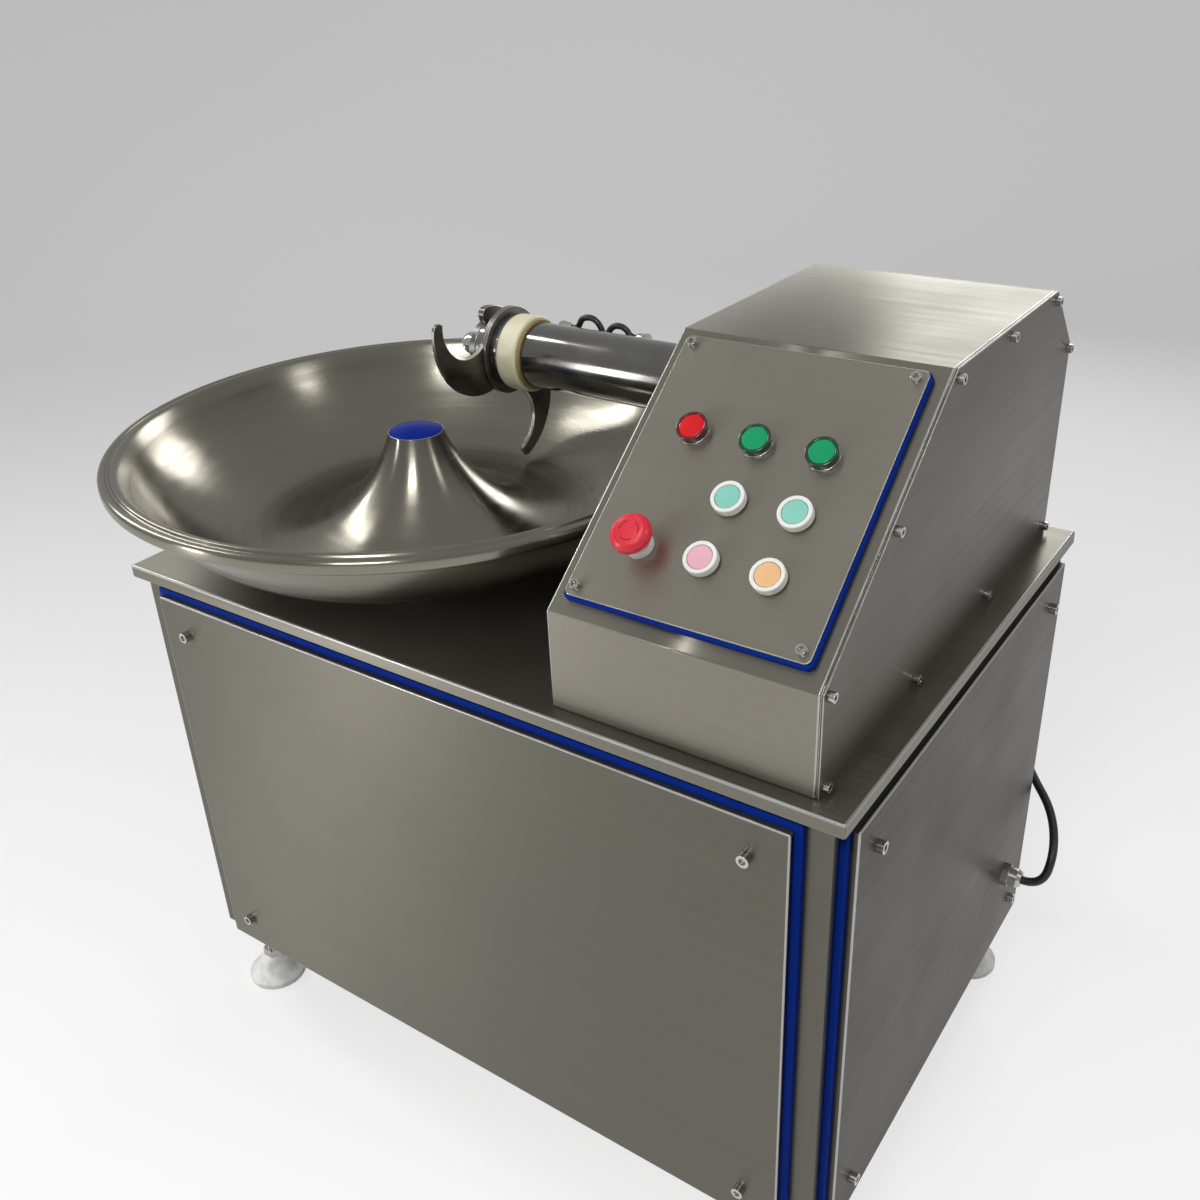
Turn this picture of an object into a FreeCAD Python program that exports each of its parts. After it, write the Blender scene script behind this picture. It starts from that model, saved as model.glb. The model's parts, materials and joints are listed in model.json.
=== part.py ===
"""Meat bowl cutter: a steel cabinet on four feet, a spun bowl that turns under a sickle knife head,
a knife shaft driven by belts from a motor in the cabinet, and a sloped push-button panel.

Millimetres, +Z up, +X along the long front. Every piece is drawn from the middle of the cabinet's
footprint on the floor, and the last step moves it so that the origin is the middle of the whole
machine's outline on the floor.
"""
import FreeCAD, Part
import Sketcher
import math
import os
import re

Vector = FreeCAD.Vector
Rotation = FreeCAD.Rotation
Placement = FreeCAD.Placement

doc = FreeCAD.newDocument("MeatBowlCutter")
sheet = doc.addObject("Spreadsheet::Sheet", "Sizes")

SIZES = {
    # table
    "table_end_overhang": 14, "table_front_overhang": 12, "table_height": 680, "table_lip": 15,
    "table_sheet": 3, "table_corner": 1.5, "slot_length": 74, "slot_width": 34,
    # cabinet frame
    "cabinet_length": 912, "cabinet_width": 626, "cabinet_bottom": 112,
    "post_flange": 90, "post_sheet": 4, "post_plate": 8, "rail_height": 50, "rail_width": 40,
    "rail_wall": 3, "base_sheet": 4,
    # panels: shallow folded trays, each on a gasket
    "front_panel_margin": 34, "side_panel_margin": 19, "panel_drop": 29, "panel_rise": 8,
    "panel_depth": 8, "panel_sheet": 2, "panel_corner": 2, "panel_fold": 1.5, "panel_gasket": 7,
    "gasket_lip": 8, "gasket_corner": 3, "gasket_band": 54, "panel_screw_inset": 42,
    # feet
    "foot_inset": 36, "foot_radius": 40, "foot_rim": 9, "foot_height": 38, "foot_neck": 15,
    "foot_stem_radius": 8, "foot_nut_height": 11, "foot_nut_radius": 15, "foot_collar": 13,
    "foot_collar_height": 6,
    # screws
    "big_screw_radius": 4, "big_head_radius": 6.5, "small_screw_radius": 3, "small_head_radius": 5,
    "small_screw_length": 10, "screw_gap": 0.3, "socket_depth": 3, "screw_grip": 8,
    # bowl
    "bowl_x": -222, "bowl_y": -64, "bowl_radius": 366, "rim_width": 23, "rim_height": 17,
    "rim_rise": 139, "rim_band": 14, "rim_round": 3, "bowl_wall": 4, "rim_groove": 3,
    "hub_plate": 5, "hub_drop": 8, "cap_radius": 34, "cap_sheet": 1.5, "cap_dome": 5.5,
    "cap_bolt_radius": 8, "bowl_shaft_radius": 18, "bowl_bearing_radius": 46,
    "bowl_flange_radius": 85, "bowl_flange_sheet": 8, "bowl_bearing_height": 34,
    "carrier_radius": 78, "carrier_rim": 10,
    "gearbox_length": 190, "gearbox_width": 150, "gearbox_height": 120, "gearbox_corner": 12,
    "gearmotor_radius": 55, "gearmotor_length": 190, "gear_terminal_length": 70,
    "gear_terminal_width": 80, "gear_terminal_height": 30,
    # knife head
    "knife_y": 122, "knife_rise": 182, "knife_radius": 157.5, "knife_gap": 3, "knife_sheet": 4,
    "knife_a_angle": 146.7, "knife_step": 120, "knife_back_radius": 88, "knife_back_offset": 8,
    "knife_edge_radius": 43.2, "knife_edge_u": 96.3, "knife_edge_v": 3, "knife_edge_start": 27.5,
    "knife_tip_radius": 9.5, "knife_tip_angle": 24, "knife_tip_turn": 118,
    "knife_root_radius": 56, "knife_bevel": 2.6, "shaft_radius": 15,
    "flange_radius": 47, "flange_sheet": 10, "spacer_radius": 36, "spacer_sheet": 13,
    "disc_edge": 1.2, "weight_radius": 53, "weight_hub": 36, "weight_sheet": 9,
    "weight_half_angle": 80, "weight_corner": 9, "nut_radius": 15, "nut_flange_radius": 20,
    "nut_flange": 4, "nut_length": 38, "nut_dome": 14, "thread_radius": 8, "thread_length": 20,
    "stack_gap": 0.4,
    # knife shaft housing
    "tube_radius": 41.5, "tube_bore": 34, "ring_left": -204, "ring_length": 30, "ring_radius": 48.5,
    "ring_round": 5, "seal_sheet": 4, "seal_radius": 45, "bearing_length": 22,
    "tube_right": 214, "pedestal_left": 166, "pedestal_length": 44, "pedestal_width": 170,
    "pedestal_foot": 16, "pedestal_foot_length": 54, "pedestal_foot_width": 236,
    "pedestal_bolt_inset": 13, "running_gap": 0.05, "clear_gap": 0.5,
    # belt drive
    "pulley_x": 262, "pulley_length": 66, "knife_pulley_radius": 55, "motor_pulley_radius": 70,
    "belt_count": 3, "belt_pitch": 19, "belt_top": 12, "belt_bottom": 7, "belt_depth": 8,
    "belt_sink": 1.4, "groove_depth": 10, "groove_gap": 0.8, "motor_z": 302, "motor_radius": 105,
    "motor_length": 300, "motor_shaft_radius": 14, "motor_shaft_inside": 50, "motor_foot_width": 190,
    "motor_gap": 14, "fan_length": 50, "terminal_length": 110, "terminal_width": 100,
    "terminal_height": 40,
    # control housing
    "hood_left": 156, "hood_length": 281, "hood_front": -307.5, "hood_back": 309,
    "hood_front_height": 105.5, "hood_height": 307.6, "slope_angle": 39, "hood_chamfer": 75.4,
    "hood_sheet": 3, "hood_fold": 3, "side_plate": 3, "hood_flange": 20, "cover_screw_inset": 10,
    "plate_length": 289.5, "plate_width": 248, "plate_start": 18.5, "plate_left": 15,
    "plate_corner": 6, "plate_sheet": 3, "plate_gasket": 7, "plate_gasket_lip": 1,
    "plate_screw_inset": 10,
    # controls, measured on the slope from the lower bend
    "control_left": 69, "control_pitch": 66, "control_row": 82, "control_row_pitch": 62,
    "collar_radius": 16, "collar_height": 11, "collar_neck": 11, "collar_wall": 3.9,
    "collar_thread": 8, "stem_wall": 2.7, "button_travel": 4, "button_well": 4, "button_sink": 0.5,
    "lens_height": 7.5, "lens_gap": 0.7, "bezel_height": 3, "block_side": 28, "block_height": 42,
    "estop_radius": 20, "estop_collar_radius": 14, "estop_collar_height": 9,
    "estop_head_height": 17, "estop_travel": 5, "estop_spigot": 6,
    # cable glands, leads and the small rail beside the shaft housing
    "gland_radius": 15, "gland_length": 24, "side_gland_y": 208, "side_gland_z": 236,
    "rear_gland_x": 385, "rear_gland_z": 318, "side_lead_radius": 5.5, "rail_bar_gap": 6.5,
    "rail_bar_rise": 200, "rail_bar_left": -169, "rail_bar_width": 14, "rail_bar_sheet": 5,
    "rail_gland_radius": 8, "rail_gland_length": 18, "rail_gland_left": -169,
    "rail_gland_right": -52, "rail_lead_radius": 4, "rail_hump_high": 17, "rail_hump_low": 12,
    # electrical plate
    "back_plate_length": 360, "back_plate_height": 350, "back_plate_sheet": 3,
    "contactor_width": 56, "contactor_depth": 80, "contactor_height": 84,
}

for row, (alias, value) in enumerate(SIZES.items(), start=1):
    sheet.set("A%d" % row, alias)
    sheet.set("B%d" % row, str(value))
    sheet.setAlias("B%d" % row, alias)
doc.recompute()


def size(name):
    """Value of one cell of the size sheet."""
    return float(sheet.get(name))


ALIAS = re.compile(r"\b(" + "|".join(sorted(SIZES, key=len, reverse=True)) + r")\b")


def formula(text):
    """Turns 'table_height - table_lip' into an expression on the size sheet."""
    return ALIAS.sub(r"Sizes.\1", str(text))


def number(text):
    """Value of such a formula, for shapes that no primitive or sketch can give."""
    return float(sheet.evalExpression(formula(text)))


# Reach of the machine from the middle of the cabinet, and the shift to its own middle.
LEFT_REACH = "(bowl_radius - bowl_x)"
RIGHT_REACH = "(cabinet_length / 2 + panel_gasket + panel_depth + gland_length)"
FRONT_REACH = "(bowl_radius - bowl_y)"
BACK_REACH = "(cabinet_width / 2 + panel_gasket + panel_depth + gland_length)"
SHIFT_X = "((" + LEFT_REACH + " - " + RIGHT_REACH + ") / 2)"
SHIFT_Y = "((" + FRONT_REACH + " - " + BACK_REACH + ") / 2)"

ALONG_X = Rotation(Vector(0, 1, 0), 90)
ALONG_Y = Rotation(Vector(1, 0, 0), -90)
AXES = {"z": Rotation(), "x": ALONG_X, "y": ALONG_Y}

pieces = {}


def place(obj, at):
    for axis, text in zip("xyz", at):
        obj.setExpression("Placement.Base." + axis, formula(text))


def box(name, length, width, height, at):
    """A block from its low corner."""
    obj = doc.addObject("Part::Box", name)
    for prop, text in (("Length", length), ("Width", width), ("Height", height)):
        obj.setExpression(prop, formula(text))
    place(obj, at)
    return obj


def rod(name, radius, length, at, axis="z"):
    """A cylinder from the middle of its first end, along +X, +Y or +Z."""
    obj = doc.addObject("Part::Cylinder", name)
    obj.setExpression("Radius", formula(radius))
    obj.setExpression("Height", formula(length))
    obj.Placement.Rotation = AXES[axis]
    place(obj, at)
    return obj


def fuse(name, parts):
    obj = doc.addObject("Part::MultiFuse", name)
    obj.Shapes = parts
    return obj


def cut(name, base, tools):
    obj = doc.addObject("Part::Cut", name)
    obj.Base = base
    obj.Tool = tools[0] if len(tools) == 1 else fuse(name + "_tools", tools)
    return obj


def group(name, parts):
    obj = doc.addObject("Part::Compound", name)
    obj.Links = parts
    return obj


def round_edges(name, base, radius, wanted):
    """A fillet on the edges of base that the test picks."""
    doc.recompute()
    obj = doc.addObject("Part::Fillet", name)
    obj.Base = base
    obj.Edges = [(i, radius, radius) for i, edge in enumerate(base.Shape.Edges, 1) if wanted(edge)]
    return obj


def upright(edge):
    """True for a straight vertical edge."""
    ends = [v.Point for v in edge.Vertexes]
    return len(ends) == 2 and (ends[0] - ends[1]).cross(Vector(0, 0, 1)).Length < 1e-6


def along(direction):
    """Test for a straight edge in one direction."""
    def test(edge):
        ends = [v.Point for v in edge.Vertexes]
        return len(ends) == 2 and (ends[0] - ends[1]).cross(direction).Length < 1e-6
    return test


def piece(node, obj):
    """Names a finished sub-part and moves it to the machine's own origin."""
    holder = obj
    if obj.TypeId not in ("Part::Cut", "Part::MultiFuse", "Part::Compound", "Part::Feature",
                          "Part::Fillet", "PartDesign::Body", "Part::Common"):
        holder = group(node + "_whole", [obj])
    bound = dict(holder.ExpressionEngine)
    for axis, shift in (("x", SHIFT_X), ("y", SHIFT_Y)):
        path = ".Placement.Base." + axis
        old = bound.get(path, bound.get(path[1:]))
        text = formula(shift) if old is None else "(" + old + ") + " + formula(shift)
        holder.setExpression("Placement.Base." + axis, text)
    holder.Label = node
    pieces[node] = holder
    return holder


def shape_piece(node, shape):
    """A sub-part whose form is built from the sheet's values by Part's own functions."""
    obj = doc.addObject("Part::Feature", node + "_form")
    obj.Shape = Part.makeCompound(shape.Solids)
    return piece(node, obj)


def polygon_sketch(body, name, plane_role, points):
    """A closed outline whose corners are bound to the sheet. A corner text of 0 lies on the axis."""
    plane = [f for f in body.Origin.OriginFeatures if f.Role == plane_role][0]
    sketch = body.newObject("Sketcher::SketchObject", name)
    sketch.AttachmentSupport = [(plane, "")]
    sketch.MapMode = "FlatFace"
    spots = [Vector(number(u), number(v), 0) for u, v in points]
    count = len(spots)
    for i in range(count):
        sketch.addGeometry(Part.LineSegment(spots[i], spots[(i + 1) % count]), False)
    for i in range(count):
        sketch.addConstraint(Sketcher.Constraint("Coincident", i, 2, (i + 1) % count, 1))
    for i, pair in enumerate(points):
        for kind, text, axis, spot in (("DistanceX", pair[0], -2, spots[i].x),
                                       ("DistanceY", pair[1], -1, spots[i].y)):
            if str(text) == "0":
                sketch.addConstraint(Sketcher.Constraint("PointOnObject", i, 1, axis))
                continue
            index = sketch.addConstraint(Sketcher.Constraint(kind, -1, 1, i, 1, spot))
            sketch.setExpression("Constraints[%d]" % index, formula(text))
    return sketch


def turned(name, outline):
    """A body turned about Z from an outline of (radius, height) corners."""
    body = doc.addObject("PartDesign::Body", name)
    sketch = polygon_sketch(body, name + "_outline", "XZ_Plane", outline)
    turn = body.newObject("PartDesign::Revolution", name + "_turn")
    turn.Profile = sketch
    turn.ReferenceAxis = (sketch, ["V_Axis"])
    turn.Angle = 360
    body.Tip = turn
    return body


def profiled(name, outline, length, plane_role="YZ_Plane"):
    """A body pushed out along the plane's normal from a flat outline."""
    body = doc.addObject("PartDesign::Body", name)
    sketch = polygon_sketch(body, name + "_outline", plane_role, outline)
    pad = body.newObject("PartDesign::Pad", name + "_pad")
    pad.Profile = sketch
    pad.setExpression("Length", formula(length))
    body.Tip = pad
    return body


def soften(body, radius, wanted):
    """Rounds the edges of a body's last feature that the test picks."""
    doc.recompute()
    base = body.Tip
    names = ["Edge%d" % i for i, edge in enumerate(base.Shape.Edges, 1) if wanted(edge)]
    fillet = body.newObject("PartDesign::Fillet", body.Name + "_round")
    fillet.Base = (base, names)
    fillet.setExpression("Radius", formula(radius))
    body.Tip = fillet
    return body


def ring_edge(radius, height):
    """Test for the round edge of a turned body at one radius and height."""
    def test(edge):
        curve = edge.Curve
        return (hasattr(curve, "Radius") and abs(curve.Radius - number(radius)) < 1e-4
                and abs(curve.Center.z - number(height)) < 1e-4)
    return test


def stand(body, at, axis="z"):
    body.Placement.Rotation = AXES[axis]
    place(body, at)
    return body


def copies(node, shape, placements):
    """The same solid repeated, as one sub-part of separate solids."""
    solids = []
    for spot in placements:
        solid = shape.copy()
        solid.Placement = spot.multiply(shape.Placement)
        solids.append(solid)
    return shape_piece(node, Part.makeCompound(solids))


# Heights and planes that several pieces share.
TABLE_UNDER = "(table_height - table_sheet)"
PANEL_LOW = "(cabinet_bottom + panel_rise)"
PANEL_HEIGHT = "(table_height - panel_drop - cabinet_bottom - panel_rise)"
FRONT_PANEL_LENGTH = "(cabinet_length - 2 * front_panel_margin)"
SIDE_PANEL_LENGTH = "(cabinet_width - 2 * side_panel_margin)"
KNIFE_Z = "(table_height + knife_rise)"
FRONT_PLANE = "(cabinet_width / 2)"
SIDE_PLANE = "(cabinet_length / 2)"
FRONT_FACE = "(cabinet_width / 2 + panel_gasket + panel_depth)"
SIDE_FACE = "(cabinet_length / 2 + panel_gasket + panel_depth)"
RAIL_Y = "(knife_y + tube_radius + rail_bar_gap)"


def make_table():
    """Folded sheet table with a hole for the bowl shaft and two slots for the belts."""
    length = "(cabinet_length + 2 * table_end_overhang)"
    width = "(cabinet_width + 2 * table_front_overhang)"
    plate = box("table_block", length, width, "table_lip",
                ("-" + length + " / 2", "-" + width + " / 2", "table_height - table_lip"))
    rounded = round_edges("table_rounded", plate, size("table_corner"), upright)
    hollow = box("table_hollow", length + " - 2 * table_sheet", width + " - 2 * table_sheet",
                 "table_lip - table_sheet",
                 ("table_sheet - " + length + " / 2", "table_sheet - " + width + " / 2",
                  "table_height - table_lip"))
    hole = rod("table_hole", "bowl_bearing_radius - 6", "table_lip",
               ("bowl_x", "bowl_y", "table_height - table_lip"))
    slots = []
    for side in (-1, 1):
        middle = "knife_y + %d * (knife_pulley_radius + motor_pulley_radius) / 2" % side
        slots.append(box("belt_slot_%d" % (side + 2), "slot_length", "slot_width", "table_lip",
                         ("pulley_x - slot_length / 2", middle + " - slot_width / 2",
                          "table_height - table_lip")))
    piece("table_top", cut("table", rounded, [hollow, hole] + slots))


def panel_screw_spots():
    """Centres and directions of the sixteen panel screws."""
    spots = []
    inset = size("panel_screw_inset")
    low = number(PANEL_LOW)
    front, side = number(FRONT_FACE), number(SIDE_FACE)
    reach_x = number(FRONT_PANEL_LENGTH) / 2 - inset
    reach_y = number(SIDE_PANEL_LENGTH) / 2 - inset
    for height in (low + inset, low + number(PANEL_HEIGHT) - inset):
        for across in (-1, 1):
            for end in (-1, 1):
                spots.append((Vector(across * reach_x, end * front, height), Vector(0, end, 0)))
                spots.append((Vector(end * side, across * reach_y, height), Vector(end, 0, 0)))
    return spots


def holes_through(spots, radius, depth):
    """Round cutters that reach inwards from each spot."""
    return [Part.makeCylinder(radius, depth, spot + way * 1.0, way * -1.0) for spot, way in spots]


def make_cabinet():
    """Angle posts and square tube rails, with a base sheet."""
    height = size("table_height") - size("table_sheet") - size("cabinet_bottom")
    flange = size("post_flange")
    wall = size("post_sheet")
    angle = Part.makeBox(flange, flange, height, Vector(-flange, -flange, 0))
    angle = angle.cut(Part.makeBox(flange, flange, height, Vector(-flange - wall, -flange - wall, 0)))
    inner = flange - wall
    angle = angle.fuse(Part.makeBox(inner, inner, size("post_plate"), Vector(-flange, -flange, 0)))
    angle = angle.removeSplitter()
    spots = [(1, 1, 0), (-1, 1, 90), (-1, -1, 180), (1, -1, 270)]
    bores = holes_through(panel_screw_spots(), size("big_screw_radius") + size("screw_gap"), 40)
    posts = []
    for side, end, turn in spots:
        corner = Vector(side * number(SIDE_PLANE), end * number(FRONT_PLANE), size("cabinet_bottom"))
        post = angle.copy()
        post.Placement = Placement(corner, Rotation(Vector(0, 0, 1), turn))
        near = [bore for bore in bores if bore.BoundBox.intersect(post.BoundBox)]
        posts.append(post.cut(near))
    shape_piece("corner_posts", Part.makeCompound(posts))

    rails = []
    for level, low in (("low", "cabinet_bottom"), ("high", TABLE_UNDER + " - rail_height")):
        long_run = "cabinet_length - 2 * post_flange"
        short_run = "cabinet_width - 2 * post_flange"
        for end, shift in (("front", "-cabinet_width / 2"), ("back", "cabinet_width / 2 - rail_width")):
            start = "post_flange - cabinet_length / 2"
            outer = box("rail_%s_%s" % (level, end), long_run, "rail_width", "rail_height",
                        (start, shift, low))
            inner = box("bore_%s_%s" % (level, end), long_run, "rail_width - 2 * rail_wall",
                        "rail_height - 2 * rail_wall",
                        (start, shift + " + rail_wall", low + " + rail_wall"))
            rails.append(cut("tube_%s_%s" % (level, end), outer, [inner]))
        for end, shift in (("left", "-cabinet_length / 2"), ("right", "cabinet_length / 2 - rail_width")):
            start = "post_flange - cabinet_width / 2"
            outer = box("rail_%s_%s" % (level, end), "rail_width", short_run, "rail_height",
                        (shift, start, low))
            inner = box("bore_%s_%s" % (level, end), "rail_width - 2 * rail_wall", short_run,
                        "rail_height - 2 * rail_wall",
                        (shift + " + rail_wall", start, low + " + rail_wall"))
            rails.append(cut("tube_%s_%s" % (level, end), outer, [inner]))
    piece("frame_rails", group("rails", rails))

    base = box("base_block", "cabinet_length - rail_width", "cabinet_width - rail_width",
               "base_sheet", ("rail_width / 2 - cabinet_length / 2",
                              "rail_width / 2 - cabinet_width / 2", "cabinet_bottom + rail_height"))
    piece("base_plate", base)


def flat_sheet(width, height, thickness, corner, place_at, way):
    """A rounded sheet standing on its middle, with its normal along way."""
    sheet_form = Part.makeBox(width, thickness, height, Vector(-width / 2, 0, 0))
    if corner > 0:
        edges = [e for e in sheet_form.Edges if along(Vector(0, 1, 0))(e)]
        sheet_form = sheet_form.makeFillet(corner, edges)
    turn = Rotation(Vector(0, 1, 0), way)
    sheet_form.Placement = Placement(place_at, turn)
    return sheet_form


def folded_tray(width, height, corner, place_at, way):
    """A panel folded from sheet: a flat face with four short sides, open towards the cabinet."""
    depth = size("panel_depth")
    wall = size("panel_sheet")
    tray = Part.makeBox(width, depth, height, Vector(-width / 2, 0, 0))
    tray = tray.makeFillet(corner, [e for e in tray.Edges if along(Vector(0, 1, 0))(e)])
    folds = [e for e in tray.Edges if e.BoundBox.YMin > depth - 1e-4]
    tray = tray.makeFillet(size("panel_fold"), folds)
    tray = tray.cut(Part.makeBox(width - 2 * wall, depth - wall, height - 2 * wall,
                                 Vector(wall - width / 2, 0, wall)))
    tray.Placement = Placement(place_at, Rotation(Vector(0, 1, 0), way))
    return tray


def make_panels():
    """Four screwed panels, each on a blue gasket that shows round its edge."""
    gap = size("big_screw_radius") + size("screw_gap")
    bores = holes_through(panel_screw_spots(), gap, size("rail_width"))
    lip = size("gasket_lip")
    band = size("gasket_band")
    gasket = size("panel_gasket")
    low = number(PANEL_LOW)
    height = number(PANEL_HEIGHT)
    gaskets = []
    for node, way, reach, across in (
            ("front_panel", Vector(0, -1, 0), FRONT_PLANE, FRONT_PANEL_LENGTH),
            ("rear_panel", Vector(0, 1, 0), FRONT_PLANE, FRONT_PANEL_LENGTH),
            ("left_panel", Vector(-1, 0, 0), SIDE_PLANE, SIDE_PANEL_LENGTH),
            ("right_panel", Vector(1, 0, 0), SIDE_PLANE, SIDE_PANEL_LENGTH)):
        width = number(across)
        start = way * number(reach) + Vector(0, 0, low)
        panel = folded_tray(width, height, size("panel_corner"), start + way * gasket, way)
        outer = flat_sheet(width + 2 * lip, height + 2 * lip, gasket, size("gasket_corner"),
                           start - Vector(0, 0, lip), way)
        inner = flat_sheet(width - 2 * band, height - 2 * band, gasket * 3, 0,
                           start - way * gasket + Vector(0, 0, band), way)
        near = [bore for bore in bores if bore.BoundBox.intersect(outer.BoundBox)]
        shape_piece(node, panel.cut(near))
        gaskets.append(outer.cut([inner] + near))
    shape_piece("panel_gaskets", Part.makeCompound(gaskets))


def hexagon_prism(radius, height, turn=0.0):
    """A six-sided prism along +Z, with its first corner turned from +X."""
    angles = [turn + math.pi / 3 * i for i in range(7)]
    corners = [Vector(radius * math.cos(a), radius * math.sin(a), 0) for a in angles]
    return Part.Face(Part.makePolygon(corners)).extrude(Vector(0, 0, height))


def cap_screw(shank_radius, head_radius, shank):
    """A socket head cap screw along -Z with its head seated on z = 0."""
    head_height = shank_radius * 2
    socket_radius = shank_radius * 0.95
    head = Part.makeCylinder(head_radius, head_height)
    body = head.fuse(Part.makeCylinder(shank_radius, shank, Vector(0, 0, -shank)))
    socket = hexagon_prism(socket_radius, size("socket_depth") * 2)
    socket.translate(Vector(0, 0, head_height - size("socket_depth")))
    return body.cut(socket).removeSplitter()


def screw_places(spots):
    return [Placement(spot, Rotation(Vector(0, 0, 1), way)) for spot, way in spots]


def pedestal_bolt_spots():
    """Four bolts that hold the shaft pedestal's foot to the table."""
    middle = size("pedestal_left") + size("pedestal_length") / 2
    inset = size("pedestal_bolt_inset")
    spots = []
    for side in (-1, 1):
        for end in (-1, 1):
            x = middle + side * (size("pedestal_foot_length") / 2 - inset)
            y = size("knife_y") + end * (size("pedestal_foot_width") / 2 - inset)
            top = size("table_height") + size("pedestal_foot")
            spots.append((Vector(x, y, top), Vector(0, 0, 1)))
    return spots


def make_big_screws():
    """M8 cap screws of the panels and of the shaft pedestal."""
    solids = []
    for spots, shank in (
            (panel_screw_spots(), size("panel_gasket") + size("panel_depth") + size("screw_grip")),
            (pedestal_bolt_spots(), size("pedestal_foot"))):
        screw = cap_screw(size("big_screw_radius"), size("big_head_radius"), shank)
        for where in screw_places(spots):
            form = screw.copy()
            form.Placement = where
            solids.append(form)
    shape_piece("panel_screws", Part.makeCompound(solids))


def make_feet():
    """White levelling feet: pad, steel stem and lock nut under each corner."""
    pad = turned("foot_pad", [
        ("0", "0"), ("foot_radius", "0"), ("foot_radius", "foot_rim"),
        ("foot_radius * 0.72", "foot_rim + 5"), ("foot_neck + 2", "foot_height - 4"),
        ("foot_neck", "foot_height"), ("0", "foot_height")])
    doc.recompute()
    spots = []
    for side in (-1, 1):
        for end in (-1, 1):
            spots.append(Placement(Vector(side * (number(SIDE_PLANE) - size("foot_inset")),
                                          end * (number(FRONT_PLANE) - size("foot_inset")), 0),
                                   Rotation()))
    copies("foot_pads", pad.Shape, spots)
    top = size("cabinet_bottom") - size("foot_height")
    stem = Part.makeCylinder(size("foot_stem_radius"), top, Vector(0, 0, size("foot_height")))
    nut = hexagon_prism(size("foot_nut_radius"), size("foot_nut_height"))
    nut.translate(Vector(0, 0, size("foot_height")))
    high = size("foot_collar_height")
    collar = Part.makeCylinder(size("foot_collar"), high, Vector(0, 0, size("cabinet_bottom") - high))
    copies("foot_stems", stem.fuse([nut, collar]).removeSplitter(), spots)


def arc_at(centre, radius, start, end):
    """Arc in the XZ plane about centre, by start and end angles in degrees."""
    middle = (start + end) / 2
    ends = [Vector(centre.x + radius * math.cos(math.radians(a)), 0,
                   centre.z + radius * math.sin(math.radians(a))) for a in (start, middle, end)]
    return Part.Arc(*ends)


def bowl_profile():
    """Section of the bowl: an arc about the knife axis from the hub neck to a stepped rim."""
    centre = Vector(size("knife_y") - size("bowl_y"), 0, number(KNIFE_Z))
    inner = size("knife_radius") + size("knife_gap")
    outer = inner + size("bowl_wall")
    rim_top = size("table_height") + size("rim_rise")
    rim_low = rim_top - size("rim_height")
    hub_top = rim_top - size("hub_drop")
    rim_out = size("bowl_radius")
    rim_in = rim_out - size("rim_width")
    groove = size("rim_groove")

    def angle_at(radius, height, right):
        drop = math.degrees(math.asin((height - centre.z) / radius))
        return drop if right else -180 - drop

    in_hub = angle_at(inner, hub_top, False)
    in_rim = angle_at(inner, rim_low + size("rim_round"), True)
    out_rim = angle_at(outer, rim_low, True)
    out_hub = angle_at(outer, hub_top - size("hub_plate"), False)
    inner_arc = arc_at(centre, inner, in_hub, in_rim)
    outer_arc = arc_at(centre, outer, out_rim, out_hub)
    inside_end = inner_arc.value(inner_arc.LastParameter)
    hub_in = inner_arc.value(inner_arc.FirstParameter)
    outside_start = outer_arc.value(outer_arc.FirstParameter)
    hub_out = outer_arc.value(outer_arc.LastParameter)
    bore = size("cap_bolt_radius") + size("screw_gap")
    band = rim_out - size("rim_band")
    soft = size("rim_round")
    step = groove / 3
    rim = [inside_end,
           Vector(rim_in, 0, rim_top - soft), Vector(rim_in + soft, 0, rim_top), Vector(band, 0, rim_top),
           Vector(band + groove / 2, 0, rim_top - groove),
           Vector(band + groove * 1.5, 0, rim_top - groove),
           Vector(band + groove * 2, 0, rim_top - step),
           Vector(rim_out - soft, 0, rim_top - step), Vector(rim_out, 0, rim_top - step - soft),
           Vector(rim_out, 0, rim_low + soft), Vector(rim_out - soft, 0, rim_low), outside_start]
    edges = [inner_arc.toShape()]
    edges += [Part.LineSegment(rim[i], rim[i + 1]).toShape() for i in range(len(rim) - 1)]
    edges.append(outer_arc.toShape())
    hub = [hub_out, Vector(bore, 0, hub_top - size("hub_plate")), Vector(bore, 0, hub_top), hub_in]
    edges += [Part.LineSegment(hub[i], hub[i + 1]).toShape() for i in range(len(hub) - 1)]
    return Part.Face(Part.Wire(Part.__sortEdges__(edges)))


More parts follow.
